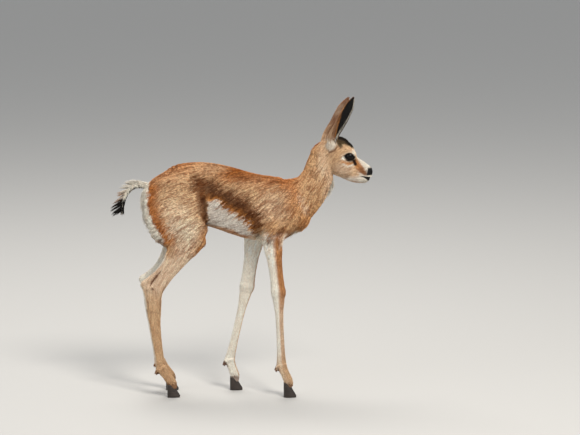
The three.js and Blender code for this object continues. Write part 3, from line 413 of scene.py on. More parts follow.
class Flesh:
    """The whole body as one signed distance, with the fine forms of its face."""

    tail_from = (-190, 400)
    head_from = (200, 470)
    step = 0.15

    def __init__(self) -> None:
        """Joins the forms of trunk, legs, head and dock."""
        self.forms = trunk_forms()
        for side in SIDES:
            self.forms += foreleg_forms(side) + hindleg_forms(side)
        self.forms += head_forms()
        self.dock = dock_form()

    def outline(self, points: Array, near: float) -> Array:
        """Distance to the outline of the coat, true for points closer than near.

        Args:
            points: places in millimetres.
            near: how close a place has to be.

        Returns:
            The distance of each, below 0 inside.
        """
        d = np.full(len(points), 1e3)
        for form in self.forms:
            reach = form.blend + near
            close = np.all((points > form.low - reach) & (points < form.high + reach), axis=1)
            if close.any():
                d[close] = join(d[close], form.distance(points[close]), form.blend)
        return d

    def distance(self, points: Array, near: float = 14.0) -> Array:
        """Distance to the skin.

        Args:
            points: places in millimetres.
            near: how close a place has to be.

        Returns:
            The distance of each, below 0 inside.
        """
        d = self.outline(points, near) + coat_depth(points)
        tail = (points[:, 0] < self.tail_from[0]) & (points[:, 2] > self.tail_from[1])
        if tail.any():
            d[tail] = join(d[tail], self.dock.distance(points[tail]), self.dock.blend)
        head = (points[:, 0] > self.head_from[0]) & (points[:, 2] > self.head_from[1])
        if head.any():
            d[head] = self.face(points[head], d[head])
        return d

    def face(self, p: Array, d: Array) -> Array:
        """Adds lids, creases, the mouth line and the nostrils to the head's distance.

        Args:
            p: places in millimetres.
            d: their distances so far.

        Returns:
            The new distances.
        """
        x, y, z = p.T
        side = np.abs(y)
        eye = np.stack([x - EYE.x, side - EYE.y, z - EYE.z], axis=1)
        reach = np.linalg.norm(eye, axis=1)
        d = join(d, reach - (EYE.radius + EYE.lid), 3.5)
        rim = EYE.opening(x, z)
        outer = smooth(EYE.y, EYE.y + 4, side)
        above = smooth(-2, 4, z - EYE.z)
        d = d + 0.55 * outer * above * ridge(rim, 1.42, 0.1)
        d = d + 0.5 * outer * (1 - above) * ridge(rim, 1.5, 0.12)
        d = d - 0.35 * outer * ridge(rim, 1.1, 0.1)
        share, lips = lip_line(x)
        inside = smooth(-0.12, 0.05, share)
        d = d + 1.25 * inside * ridge(z, lips, 0.75)
        d = d - 0.45 * inside * ridge(np.abs(z - lips), 2.2, 1.2)
        nx, ny, nz = NOSTRIL
        hole = np.stack([(x - nx) / 3.6, (side - ny) / 2.4, (z - nz) / 2.1], axis=1)
        slot = np.stack([(x - nx + 3.2) / 3.2, (side - ny - 2.4) / 1.6, z - nz - 1.3], axis=1)
        carve = np.minimum(np.linalg.norm(hole, axis=1), np.linalg.norm(slot, axis=1)) - 1
        d = -join(-d, carve * 1.8, 1.0)
        groove = smooth(291, 297, x) * smooth(524, 518, z)
        return d + 0.5 * groove * ridge(side, 0.0, 0.8)

    def normal(self, points: Array) -> Array:
        """Outward direction of the skin at points close to it."""
        return unit(self.slope(points, self.distance(points)))

    def slope(self, points: Array, d: Array) -> Array:
        """Gradient by forward differences from known distances.

        Args:
            points: places in millimetres.
            d: their distances.

        Returns:
            A row for each point.
        """
        columns = []
        for axis in range(3):
            shifted = points.copy()
            shifted[:, axis] += self.step
            columns.append((self.distance(shifted) - d) / self.step)
        return np.stack(columns, axis=1)

    def settle(self, points: Array, rounds: int, limit: float) -> Array:
        """Moves points onto the skin, by no more than a limit each round.

        Args:
            points: places in millimetres.
            rounds: how often they are moved.
            limit: the longest move.

        Returns:
            The moved points.
        """
        for _ in range(rounds):
            d = self.distance(points)
            g = self.slope(points, d)
            square = np.maximum(np.sum(g**2, axis=1), 0.1)
            move = -(d / square)[:, None] * g
            length = np.linalg.norm(move, axis=1, keepdims=True)
            points = points + move * np.minimum(1.0, limit / np.maximum(length, 1e-9))
        return points


def lines(*spans: tuple[float, float, float]) -> Array:
    """Grid lines over joined spans, each as start, end and step."""
    parts = []
    for start, end, step in spans:
        part = np.linspace(start, end, math.ceil((end - start) / step) + 1)
        parts.append(part[1:] if parts else part)
    return np.concatenate(parts)


def blend_matrix(fine: Array, coarse: Array) -> Array:
    """Weights that carry values from coarse grid lines to fine ones, in straight steps."""
    return np.stack([np.interp(fine, coarse, row) for row in np.eye(len(coarse))], axis=1)


def surface_net(flesh: Flesh, grid: list[Array]) -> tuple[Array, Array]:
    """A net of quads over the skin.

    The distance is taken on every fourth grid line first, and then on all of them near the skin.

    Args:
        flesh: the body's distance.
        grid: the grid lines of each axis.

    Returns:
        Rows of points, and rows of four point numbers turned outwards.
    """
    skip, far, close = 4, 60.0, 10.0
    coarse = [np.append(axis[::skip], axis[-1]) for axis in grid]
    mesh = np.stack(np.meshgrid(*coarse, indexing="ij"), axis=-1).reshape(-1, 3)
    rough = flesh.distance(mesh, near=far).reshape([len(axis) for axis in coarse])
    value = np.clip(rough, -far, far)
    for axis in range(3):
        weights = blend_matrix(grid[axis], coarse[axis])
        value = np.moveaxis(np.tensordot(weights, value, axes=(1, axis)), 0, axis)
    near = np.argwhere(np.abs(value) < close)
    places = np.stack([grid[axis][near[:, axis]] for axis in range(3)], axis=1)
    value[tuple(near.T)] = flesh.distance(places)
    shape = np.array(value.shape)
    ids, points, faces = [], [], []
    for axis in range(3):
        u, w = (np.roll([1, 0, 0], axis + k) for k in (1, 2))
        start, end = (np.moveaxis(np.moveaxis(value, axis, 0)[part], 0, axis)
                      for part in (slice(0, -1), slice(1, None)))
        at = np.argwhere((start < 0) != (end < 0))
        va, vb = start[tuple(at.T)], end[tuple(at.T)]
        place = np.stack([grid[k][at[:, k]] for k in range(3)], axis=1)
        step = grid[axis][at[:, axis] + 1] - grid[axis][at[:, axis]]
        place[:, axis] += step * va / (va - vb)
        cells = [at, at - u, at - u - w, at - w]
        keys = [np.ravel_multi_index(cell.T, shape) for cell in cells]
        ids += keys
        points += [place] * 4
        quad = np.stack(keys, axis=1)
        quad[va >= 0] = quad[va >= 0][:, ::-1]
        faces.append(quad)
    key, index = np.unique(np.concatenate(ids), return_inverse=True)
    every = np.concatenate(points)
    count = np.bincount(index)
    middle = np.stack([np.bincount(index, every[:, k]) / count for k in range(3)], axis=1)
    return middle, np.searchsorted(key, np.concatenate(faces))


def relax(points: Array, quads: Array, share: float) -> Array:
    """Moves each point of a net part of the way to the middle of its neighbours.

    Args:
        points: the net's points.
        quads: its faces.
        share: how much of the way, from 0 to 1.

    Returns:
        The moved points.
    """
    ends = np.concatenate([quads[:, [k, (k + 1) % 4]] for k in range(4)])
    total = np.zeros_like(points)
    for axis in range(3):
        total[:, axis] = np.bincount(ends[:, 0], points[ends[:, 1], axis], len(points))
        total[:, axis] += np.bincount(ends[:, 1], points[ends[:, 0], axis], len(points))
    count = np.bincount(ends.ravel(), minlength=len(points))
    return points + (total / count[:, None] - points) * share


@dataclass(frozen=True)
class Guide:
    """The lie of the coat at a place seen from the side."""

    x: float
    z: float
    dx: float
    dz: float
    spread: float = 24.0


LIE = tuple(Guide(*row) for row in (
    (292, 522, -1, 0.25, 8), (270, 540, -1, 0.45, 9), (246, 588, -0.7, 0.7, 9),
    (222, 602, -1, 0.1, 12), (238, 528, -1, -0.3, 12), (262, 503, -1, 0.1, 9),
    (284, 497, -1, 0.15, 8), (215, 560, -0.9, -0.4, 12), (190, 590, -0.75, -0.65, 12),
    (180, 558, -0.45, -0.9), (202, 520, -0.5, -0.85, 16), (160, 522, -0.4, -0.9),
    (193, 482, -0.5, -0.86), (150, 492, -0.42, -0.9), (172, 440, -0.5, -0.86),
    (130, 470, -0.42, -0.9), (112, 446, -0.62, -0.78), (100, 408, -0.66, -0.75),
    (72, 470, -0.78, -0.62), (150, 402, -0.5, -0.86), (100, 502, -1, -0.3), (40, 512, -1, -0.2),
    (-40, 531, -1, -0.12), (-110, 541, -1, -0.12), (-170, 517, -0.85, -0.5),
    (-218, 470, -0.3, -0.95), (20, 470, -0.8, -0.6), (-40, 488, -0.78, -0.6),
    (-82, 505, -0.9, -0.4), (32, 412, -0.76, -0.65), (-20, 432, -0.78, -0.62),
    (-62, 462, -0.8, -0.6), (0, 372, -0.95, -0.3), (-50, 396, -0.95, -0.3),
    (-100, 482, -0.95, -0.3), (-150, 474, -0.97, -0.22), (-150, 432, -0.95, -0.3),
    (-98, 432, -0.88, -0.48), (-185, 430, -0.8, -0.6), (-120, 390, -0.72, -0.7),
    (-90, 368, -0.6, -0.8), (-196, 400, -0.5, -0.86), (-140, 340, -0.56, -0.83),
    (-180, 300, -0.5, -0.86), (-205, 230, 0, -1), (-195, 150, 0.1, -1), (-170, 52, 0.45, -0.9),
    (72, 330, -0.05, -1), (85, 230, 0.02, -1), (92, 140, 0.03, -1), (102, 50, 0.35, -0.93),
    (24, 330, -0.1, -1), (5, 230, -0.1, -1), (-15, 140, -0.2, -1), (-20, 50, 0.3, -0.95),
    (206, 622, 0.3, 0.95, 14), (228, 655, 0.4, 0.92, 14), (246, 688, 0.5, 0.87, 14),
))


def lie_of(points: Array, normals: Array) -> Array:
    """The way the coat lies at places on the skin, along the surface.

    Args:
        points: places in millimetres.
        normals: outward directions there.

    Returns:
        A direction for each place.
    """
    total = np.zeros((len(points), 3))
    for guide in LIE:
        square = (points[:, 0] - guide.x) ** 2 + (points[:, 2] - guide.z) ** 2
        weight = np.exp(-square / (2 * guide.spread**2)) + 1e-9 / (1 + square)
        total += weight[:, None] * unit(np.array([guide.dx, 0.0, guide.dz]))
    flat = flatten(total, normals)
    weak = np.linalg.norm(flat, axis=1) < 1e-3 * np.linalg.norm(total, axis=1)
    flat[weak] = np.cross(normals[weak], np.array([0.0, 1.0, 0.0]))
    return unit(flat)


HASH_AXES = np.array([73856093, 19349663, 83492791])
HASH_SEED = 2654435761
HASH_MIX = ((13, 1274126177), (15, 2246822519))
HASH_BITS = 0xFFFFFFFF


def lattice_noise(points: Array, cell: float, seed: int) -> Array:
    """Smooth seeded noise from -1 to 1 over cells of one size.

    Args:
        points: places in millimetres.
        cell: the size of a cell.
        seed: picks the noise.

    Returns:
        A number for each place.
    """
    scaled = points / cell
    base = np.floor(scaled).astype(np.int64)
    share = scaled - base
    share = share * share * (3 - 2 * share)
    total = np.zeros(len(points))
    for corner in range(8):
        step = np.array([corner & 1, corner >> 1 & 1, corner >> 2 & 1])
        key = (base + step) @ HASH_AXES + seed * HASH_SEED
        for shift, factor in HASH_MIX:
            key = (key ^ (key >> shift)) * factor & HASH_BITS
        value = (key & 0xFFFF) / 32767.5 - 1
        total += value * np.prod(np.where(step, share, 1 - share), axis=1)
    return total


def streaks(points: Array, lie: Array, length: float, cell: float, seed: int) -> Array:
    """Noise drawn out along the lie of the coat, from about -1 to 1.

    Args:
        points: places in millimetres.
        lie: the way that the coat lies there.
        length: how far it is drawn out.
        cell: the size of its cells.
        seed: picks the noise.

    Returns:
        A number for each place.
    """
    count = 7
    total = np.zeros(len(points))
    for share in np.linspace(-0.5, 0.5, count):
        total += lattice_noise(points + lie * (share * length), cell, seed)
    return np.clip(total / math.sqrt(count) * 1.6, -1, 1)


class Tone(Enum):
    """The colours of the coat and bare skin, linear."""

    TAN = (0.47, 0.265, 0.130)
    FAWN = (0.58, 0.375, 0.215)
    PALE = (0.64, 0.465, 0.325)
    RUSSET = (0.36, 0.115, 0.025)
    GINGER = (0.42, 0.170, 0.048)
    BROWN = (0.105, 0.027, 0.006)
    SOOT = (0.022, 0.011, 0.007)
    SABLE = (0.055, 0.036, 0.016)
    WHITE = (0.72, 0.66, 0.56)
    CLOUD = (0.61, 0.55, 0.48)
    SNOW = (0.84, 0.77, 0.66)
    CREAM = (0.62, 0.52, 0.38)
    GREY = (0.245, 0.16, 0.105)
    BLACK = (0.006, 0.005, 0.0045)

    @property
    def rgb(self) -> Array:
        """The colour as an array."""
        return np.array(self.value)


def paint(colour: Array, mask: Array, tone: Tone) -> Array:
    """Lays a tone over colours where a mask is high."""
    share = np.clip(mask, 0, 1)[:, None]
    return colour * (1 - share) + tone.rgb * share


def band(x: Array, z: Array, route: tuple, soft: float) -> Array:
    """A painted band seen from the side.

    Args:
        x: places along the body.
        z: heights.
        route: rows of x, z and half-width along its middle.
        soft: width of its edge as a share of the half-width.

    Returns:
        A mask, 1 inside the band.
    """
    rows = np.array(route, float)
    start, edge = rows[:-1, :2], np.diff(rows[:, :2], axis=0)
    best = np.full(len(x), 1e9)
    for a, e, half, grow in zip(start, edge, rows[:-1, 2], np.diff(rows[:, 2])):
        share = np.clip(((x - a[0]) * e[0] + (z - a[1]) * e[1]) / (e @ e), 0, 1)
        gap = np.hypot(x - a[0] - share * e[0], z - a[1] - share * e[1])
        best = np.minimum(best, gap / (half + grow * share))
    return 1 - smooth(1 - soft, 1 + soft, best)


def spot(x: Array, z: Array, oval: tuple, soft: float) -> Array:
    """A soft oval mask seen from the side, from its middle and its half-sizes."""
    middle, half = oval
    reach = np.hypot((x - middle[0]) / half[0], (z - middle[1]) / half[1])
    return 1 - smooth(1 - soft, 1 + soft, reach)


@dataclass(frozen=True)
class Stroke:
    """One stroke of a tone, seen from the side.

    Its rows are x, z and half-width along a band, or the middle and half-sizes of an oval. It
    may fade with the distance from the middle plane: none of it at the first, all at the second.
    """

    tone: Tone
    share: float
    rows: tuple
    soft: float = 0.8
    off: tuple[float, float] | None = None

    def mask(self, x: Array, side: Array, z: Array) -> Array:
        """How much of the tone lies at each place."""
        shape = spot if len(self.rows[0]) == 2 else band
        fade = smooth(*self.off, side) if self.off else 1.0
        return self.share * shape(x, z, self.rows, self.soft) * fade


def strokes(*rows: tuple) -> tuple[Stroke, ...]:
    """A table of strokes."""
    return tuple(Stroke(*row) for row in rows)


def lay(c: Array, x: Array, side: Array, z: Array, table: tuple[Stroke, ...],
        limit: Array | float = 1.0) -> Array:
    """Lays strokes over colours, one after another, as far as a limit lets them."""
    for stroke in table:
        c = paint(c, stroke.mask(x, side, z) * limit, stroke.tone)
    return c


def off_line(x: Array, z: Array, joints: list[tuple]) -> Array:
    """How far places lie before a leg's line through its joints, seen from the side."""
    at = np.array(joints[::-1], float)
    return x - np.interp(z, at[:, 1], at[:, 0])


FLANK = strokes(
    (Tone.FAWN, 0.6, ((20, 478), (80, 24))),
    (Tone.PALE, 0.5, ((78, 446), (34, 30))),
    (Tone.FAWN, 0.65, ((-72, 526), (40, 15))),
    (Tone.GINGER, 1.0, ((-84, 472, 10), (-51, 468, 9), (-23, 441, 11), (31, 411, 12),
                        (44, 386, 9)), 0.6),
    (Tone.BROWN, 0.85, ((-76, 498, 16), (-46, 481, 16), (-11, 462, 19), (21, 441, 21),
                        (43, 423, 14), (45, 402, 10), (38, 386, 7)), 0.6),
    (Tone.SOOT, 0.35, ((-74, 490, 10), (-46, 476, 9), (-12, 455, 9), (19, 434, 10),
                       (41, 414, 8), (44, 396, 5))),
)
THIGH = strokes(
    (Tone.FAWN, 0.85, ((-146, 462), (56, 60)), 0.7),
    (Tone.PALE, 0.6, ((-142, 430), (36, 30))),
    (Tone.PALE, 0.95, ((-150, 400, 18), (-118, 385, 24), (-130, 340, 22))),
    (Tone.CREAM, 0.5, ((-126, 396), (30, 24))),
    # painted shade in the fold along the thigh's front edge
    (Tone.BROWN, 0.85, ((-90, 500, 14), (-85, 464, 11), (-83, 430, 9), (-81, 400, 6)), 0.7),
    (Tone.SOOT, 0.5, ((-82, 466, 6), (-79, 430, 5), (-78, 404, 3))),
    (Tone.GINGER, 0.6, ((-74, 385, 5), (-86, 358, 5), (-112, 318, 5))),
)
# painted shade of the muscle down the back of the shank
SHANK_BACK_SHADE = strokes(
    (Tone.BROWN, 0.8, ((-186, 372, 4), (-181, 358, 6), (-180, 340, 6), (-186, 325, 3)), 0.8,
     (26, 36)),
)
# painted shade in the groove between tendon and shank above the hock, in the hock's creases and in
# a dimple
HOCK_CREASE_SHADE = strokes(
    (Tone.BROWN, 0.9, ((19, 297, 0.8), (7, 283, 2.4), (-4, 269, 2.6), (-6, 262, 1.0)), 0.6),
    (Tone.BROWN, 0.7, ((-2, 255), (4, 3)), 0.5),
    (Tone.BROWN, 0.5, ((33, 272, 0.8), (22, 250, 1.6), (17, 231, 1.8), (13, 207, 1.0)), 0.7),
    (Tone.BROWN, 0.5, ((-22, 207, 1.0), (-4, 202, 1.7), (13, 205, 1.2)), 0.7),
    (Tone.BROWN, 0.5, ((-16, 258, 1.0), (-13, 230, 1.6), (-12, 207, 1.0)), 0.7),
)
BREAST = strokes(
    (Tone.RUSSET, 0.45, ((122, 452), (20, 24))),
    # painted shade in the fold between the breast and the foreleg
    (Tone.BROWN, 0.7, ((64, 378, 5), (86, 388, 6), (100, 402, 4)), 0.8, (15, 30)),
    (Tone.BROWN, 0.5, ((90, 386, 4), (112, 388, 6), (128, 394, 6), (142, 402, 4)), 0.8, (8, 18)),
    (Tone.WHITE, 0.95, ((90, 364, 6), (104, 371, 9), (118, 376, 9), (132, 383, 6)), 0.6),
)
CHEEK = strokes(
    (Tone.PALE, 0.8, ((236, 526), (24, 20)), 0.7),
    (Tone.BROWN, 0.22, ((230, 540), (22, 16))),
)
TEMPLE = strokes((Tone.FAWN, 0.85, ((238, 573), (10, 6)), 0.5, (8, 14)))
FACE = strokes(
    (Tone.WHITE, 1.0, ((258.5, 566), (4.5, 8)), 0.4, (10, 15)),
    (Tone.WHITE, 1.0, ((233.5, 553.5), (4.0, 5.5)), 0.4, (10, 15)),
    (Tone.GINGER, 0.85, ((231, 549, 1.6), (238, 543, 2.2), (248, 540.5, 2.4),
                         (257, 543, 2.0)), 0.6, (10, 15)),
    (Tone.WHITE, 0.7, ((234, 540, 2), (246, 535, 2.6), (257, 537, 2)), 0.6, (10, 15)),
    (Tone.GINGER, 0.9, ((260, 545, 4.5), (267, 535, 7.0), (276, 524, 6.5),
                        (283, 516, 4.0)), 0.5, (4, 8)),
    (Tone.BROWN, 0.6, ((276, 524, 6.5), (283, 516, 4.0)), 0.8, (4, 8)),
    (Tone.SOOT, 1.0, ((255, 554, 3.0), (259, 546, 4.0), (261, 538, 3.6)), 0.4, (10, 15)),
    (Tone.WHITE, 0.9, ((205, 585), (12, 12)), 0.35, (12, 20)),
    (Tone.BROWN, 0.7, ((203, 569, 2.5), (213, 572, 2.5), (219, 580, 2.0)), 0.6, (12, 18)),
    (Tone.GINGER, 0.5, ((224, 506, 2.2), (250, 497, 2.2), (280, 492, 2.2)), 0.6),
)
BROW = ((212, 221, 228, 234, 240, 246, 252, 262), (592, 583, 574, 584, 582, 579, 575, 567))
BELLY_TOP = ((-84, -78, -51, -23, 31, 40), (448, 457, 460, 433, 404, 376))
RUMP_EDGE = ((372, 385, 398, 415, 431, 455, 478, 493),
             (-172, -179, -187, -197, -205, -211, -213, -206))


@dataclass(frozen=True)
class Markings:
    """The colours of the lamb, worked out from places on its body.

    Each method lays tones over the colours c that it is given. A place is x along the body,
    its distance to the side of the middle plane and its height z, in millimetres.
    """

    wobble: float = 4.0
    wobble_cell: float = 14.0

    def tone_at(self, points: Array, normals: Array) -> Array:
        """Colours at places on the skin.

        Args:
            points: places in millimetres.
            normals: outward directions there.

        Returns:
            Rows of linear red, green and blue.
        """
        shift = np.stack([lattice_noise(points, self.wobble_cell, k) for k in (1, 2, 3)], axis=1)
        calm = smooth(200, 150, points[:, 0])[:, None]
        x, y, z = (points + shift * self.wobble * calm).T
        side = np.abs(y)
        c = np.tile(Tone.TAN.rgb, (len(points), 1))
        c = self.back_and_flank(c, x, side, z)
        c = self.thigh_and_rump(c, x, side, z, normals)
        c = self.legs(c, points, normals)
        c = self.neck(c, x, side, z, normals)
        head = (points[:, 0] > 168) & (points[:, 2] > HEAD_FROM)
        x, y, z = points[head].T
        c[head] = self.head(c[head], x, np.abs(y), z)
        return c

    def back_and_flank(self, c: Array, x: Array, side: Array, z: Array) -> Array:
        """The russet back, tan sides, dark stripe and white belly, with painted shade and warm
        bounce light along the belly's lower edge.
        """
        at, tops, unders, _ = np.array(TRUNK, float).T
        top, under = np.interp(x, at, tops), np.interp(x, at, unders)
        c = paint(c, 0.95 * smooth(-36, -8, z - top) * smooth(150, 128, x), Tone.RUSSET)
        spine = smooth(-26, -6, z - top) * smooth(-95, -55, x) * smooth(105, 60, x)
        c = paint(c, 0.3 * spine, Tone.BROWN)
        c = lay(c, x, side, z, FLANK)
        rear_end = np.where(side > 20, -75, -128)
        front_end = 27 - 0.15 * (z - 376)
        belly = smooth(5, -4, z - np.interp(x, *BELLY_TOP))
        belly *= smooth(rear_end, rear_end + 4, x) * smooth(front_end + 6, front_end - 4, x)
        c = paint(c, belly, Tone.CLOUD)
        # painted shade with warm bounce light: ginger along the lower edge of the belly
        painted_bounce = smooth(14, 6, z - under) * smooth(-95, -75, x) * smooth(34, 16, x)
        c = paint(c, 0.8 * painted_bounce * smooth(2, 9, side), Tone.GINGER)
        chest = smooth(26, 12, side) * smooth(388, 372, z) * smooth(40, 60, x) * smooth(130, 112, x)
        return paint(c, chest, Tone.CREAM)

    def thigh_and_rump(self, c: Array, x: Array, side: Array, z: Array, normals: Array) -> Array:
        """The paler thigh with painted shade in its front fold and down the back of the shank, its
        russet rear, the white rump and the dock.
        """
        c = lay(c, x, side, z, THIGH)
        gap = x - np.interp(z, *RUMP_EDGE)
        wall = smooth(345, 372, z) * smooth(500, 488, z)
        c = paint(c, 0.85 * wall * smooth(42, 6, gap), Tone.RUSSET)
        inner = smooth(17, 9, side) * smooth(-100, -130, x) * smooth(470, 440, z)
        c = paint(c, np.maximum(wall * smooth(0, -5, gap), inner), Tone.WHITE)
        # painted shade down the back of the shank
        c = lay(c, x, side, z, SHANK_BACK_SHADE)
        dock = np.maximum(smooth(-207, -212, x) * smooth(476, 480, z), smooth(-233, -237, x))
        c = paint(c, dock, Tone.WHITE)
        to_x, to_z = -222 - x, 440 - z
        under = (normals[:, 0] * to_x + normals[:, 2] * to_z) / np.hypot(to_x, to_z)
        return paint(c, dock * smooth(0.2, 0.5, under), Tone.BLACK)

    def legs(self, c: Array, points: Array, normals: Array) -> Array:
        """Both pairs of legs, with their dewclaws, painted shade in the groove and creases of the
        hocks, and the line over the hooves.
        """
        x, y, z = points.T
        side = np.abs(y)
        outward = np.sign(y) * normals[:, 1]
        for name, s in SIDES.items():
            own = y * s > 0
            fore = list(FORELEGS[name].values())
            hind = [moved(joint, name) for joint in HIND.values()]
            leg = own & (np.abs(off_line(x, z, fore)) < 34) & (z < 385)
            c = self.foreleg(c, leg * smooth(392, 370, z), z, normals[:, 0], outward)
            leg = own * (np.abs(off_line(x, z, hind)) < 60) * (x < -60) * smooth(350, 318, z)
            thigh = own * (x < -100) * smooth(430, 405, z)
            c = self.hindleg(c, leg, thigh, z, normals[:, 0], outward)
            # painted shade in the groove and creases of the hock, on its outer side
            c = lay(c, x - hind[1][0], side, z, HOCK_CREASE_SHADE, own * smooth(0.1, 0.5, outward))
            for fetlock in (fore[2], hind[2]):
                claw = np.hypot(x - fetlock[0] + 12, z - fetlock[1] + 7)
                c = paint(c, own * smooth(7.5, 5.0, claw) * 0.9, Tone.BROWN)
        return paint(c, 0.7 * smooth(40, 33, z) * (side > 20), Tone.BROWN)

    @staticmethod
    def foreleg(c: Array, leg: Array, z: Array, forward: Array, outward: Array) -> Array:
        """A white foreleg with a tan front stripe."""
        stripe = leg * smooth(0.0, 0.45, forward + 0.12 * outward) * smooth(-0.75, -0.2, outward)
        for mask, tone in (
            (leg, Tone.SNOW),
            (stripe * 0.95, Tone.GINGER),
            (stripe * smooth(262, 190, z) * 0.85, Tone.PALE),
            (leg * smooth(120, 70, z) * smooth(-0.3, 0.3, outward) * 0.8, Tone.FAWN),
        ):
            c = paint(c, mask, tone)
        return c

    @staticmethod
    def hindleg(c: Array, leg: Array, thigh: Array, z: Array, forward: Array,
                outward: Array) -> Array:
        """A hind leg, tan outside, and white inside and behind."""
        low = smooth(60, 120, z)
        rear = smooth(-0.55, -0.85, forward) * 0.9
        for mask, tone in (
            (leg, Tone.PALE),
            (leg * smooth(270, 220, z) * 0.9, Tone.FAWN),
            (leg * smooth(220, 180, z) * 0.3, Tone.TAN),
            (thigh * low * smooth(0.1, -0.4, outward), Tone.WHITE),
            (leg * np.maximum(smooth(0.0, -0.5, outward), rear) * low, Tone.SNOW),
        ):
            c = paint(c, mask, tone)
        return c

    def neck(self, c: Array, x: Array, side: Array, z: Array, normals: Array) -> Array:
        """The neck, ginger behind, fawn at the sides and paler on the throat, and the breast with
        painted shade in its fold by the foreleg.
        """
        ahead = off_line(x, z, [row[:2] for row in NECK[::-1]])
        on_neck = smooth(445, 480, z) * smooth(108, 135, x)
        c = paint(c, 0.2 * on_neck * smooth(14, -26, ahead), Tone.GINGER)
        c = paint(c, 0.4 * spot(x, z, ((150, 486), (26, 26)), 0.8), Tone.FAWN)
        c = paint(c, 0.6 * on_neck * spot(x, z, ((180, 530), (20, 44)), 0.8), Tone.FAWN)
        c = paint(c, 0.8 * spot(x, z, ((196, 556), (14, 40)), 0.8), Tone.PALE)
        c = paint(c, 0.7 * on_neck * smooth(12, 30, ahead) * smooth(22, 8, side), Tone.PALE)
        groove = ((136, 474, 5), (146, 450, 6), (152, 432, 4))
        c = paint(c, 0.7 * band(x, z, groove, 0.8), Tone.PALE)
        front = smooth(0.35, 0.8, normals[:, 0]) * smooth(455, 430, z) * smooth(118, 138, x)
        c = paint(c, 0.55 * front, Tone.GINGER)
        return lay(c, x, side, z, BREAST)

    def head(self, c: Array, x: Array, side: Array, z: Array) -> Array:
        """The pale face with its dark brow, eye patch, stripe to the mouth, nose and lips."""
        c = paint(c, 0.8 * smooth(188, 210, x + 0.35 * (z - 540)), Tone.FAWN)
        c = lay(c, x, side, z, CHEEK)
        jaw = smooth(512, 500, z - 0.12 * (x - 230)) * smooth(214, 232, x)
        c = paint(c, 0.8 * jaw, Tone.CLOUD)
        c = paint(c, smooth(266, 274, x) * 0.9, Tone.WHITE)
        bridge = smooth(10, 6, side) * smooth(252, 262, x) * smooth(528, 534, z + 0.6 * (x - 276))
        c = paint(c, 0.85 * bridge, Tone.WHITE)
        crown = smooth(-1.5, 1.5, z - np.interp(x, *BROW))
        crown *= smooth(205, 221, x) * smooth(266, 260, x)
        c = paint(c, 0.95 * crown * smooth(30, 22, side), Tone.SABLE)
        c = paint(c, 0.9 * crown * smooth(17, 11, side), Tone.BLACK)
        c = lay(c, x, side, z, TEMPLE)
        ring = EYE.opening(x, z)
        open_side = smooth(10, 15, side)
        c = paint(c, 0.7 * open_side * smooth(2.0, 1.5, ring) * smooth(0.95, 1.15, ring), Tone.PALE)
        c = lay(c, x, side, z, FACE)
        c = paint(c, open_side * smooth(1.34, 1.18, ring), Tone.BLACK)
        return paint(c, self.bare(x, side, z), Tone.BLACK)

    @staticmethod
    def bare(x: Array, side: Array, z: Array) -> Array:
        """Where the skin has no hair: the nose, the lips and the rims of the lids."""
        nose = smooth(286, 288.5, x - 0.2 * (z - 518))
        nose = nose * smooth(510.5, 512.5, z) * smooth(530, 527, z)
        share, lips = lip_line(x)
        above = 0.8 + 0.8 * share
        under = 1.0 + 7.0 * smooth(0.1, 0.75, share)
        mouth = smooth(above + 0.7, above, z - lips) * smooth(under + 0.7, under, lips - z)
        mouth *= smooth(-0.1, 0.05, share)
        lid = smooth(1.2, 1.08, EYE.opening(x, z)) * smooth(EYE.y - 1, EYE.y + 3, side)
        return np.maximum.reduce([nose, mouth, lid])


def new_object(name: str, points: Array, faces: Array | list) -> bpy.types.Object:
    """A mesh object from points in millimetres, shaded smooth.

    Args:
        name: the piece's name.
        points: rows of x, y and z.
        faces: an array of triangles or quads, or a list of faces of any size.

    Returns:
        The linked object, with its place in its mesh.
    """
    mesh = bpy.data.meshes.new(name)
    if isinstance(faces, list):
        mesh.from_pydata((points * MM).tolist(), [], faces)
    else:
        count, corners = faces.shape
        starts = np.arange(0, count * corners, corners, dtype=np.int32)
        mesh.vertices.add(len(points))
        mesh.vertices.foreach_set("co", (points * MM).astype(np.float32).ravel())
        mesh.loops.add(count * corners)
        mesh.loops.foreach_set("vertex_index", faces.astype(np.int32).ravel())
        mesh.polygons.add(count)
        mesh.polygons.foreach_set("loop_start", starts)
        mesh.polygons.foreach_set("loop_total", np.full(count, corners, dtype=np.int32))
    mesh.update(calc_edges=True)
    mesh.validate()
    mesh.shade_smooth()
    obj = bpy.data.objects.new(name, mesh)
    bpy.context.scene.collection.objects.link(obj)
    return obj


def surface_of(mesh: bpy.types.Mesh) -> tuple[Array, Array]:
    """The places of a mesh's vertices, in millimetres, and the outward direction at each."""
    rows = []
    for items, name in ((mesh.vertices, "co"), (mesh.vertex_normals, "vector")):
        flat = np.empty(len(items) * 3, np.float32)
        items.foreach_get(name, flat)
        rows.append(flat.reshape(-1, 3).astype(float))
    return rows[0] / MM, rows[1]


def apply_modifiers(obj: bpy.types.Object) -> None:
    """Puts the result of a piece's modifiers in the place of its mesh."""
    graph = bpy.context.evaluated_depsgraph_get()
    mesh = bpy.data.meshes.new_from_object(obj.evaluated_get(graph))
    obj.modifiers.clear()
    obj.data = mesh


def store(mesh: bpy.types.Mesh, name: str, values: Array) -> None:
    """Keeps a colour or a number for each vertex as a named attribute.

    Args:
        mesh: the mesh.
        name: the attribute's name.
        values: rows of red, green and blue, or one number for each vertex.
    """
    if values.ndim == 2:
        layer = mesh.attributes.new(name, "FLOAT_COLOR", "POINT")
        rgba = np.c_[values, np.ones(len(values))]
        layer.data.foreach_set("color", rgba.astype(np.float32).ravel())
    else:
        layer = mesh.attributes.new(name, "FLOAT", "POINT")
        layer.data.foreach_set("value", values.astype(np.float32))


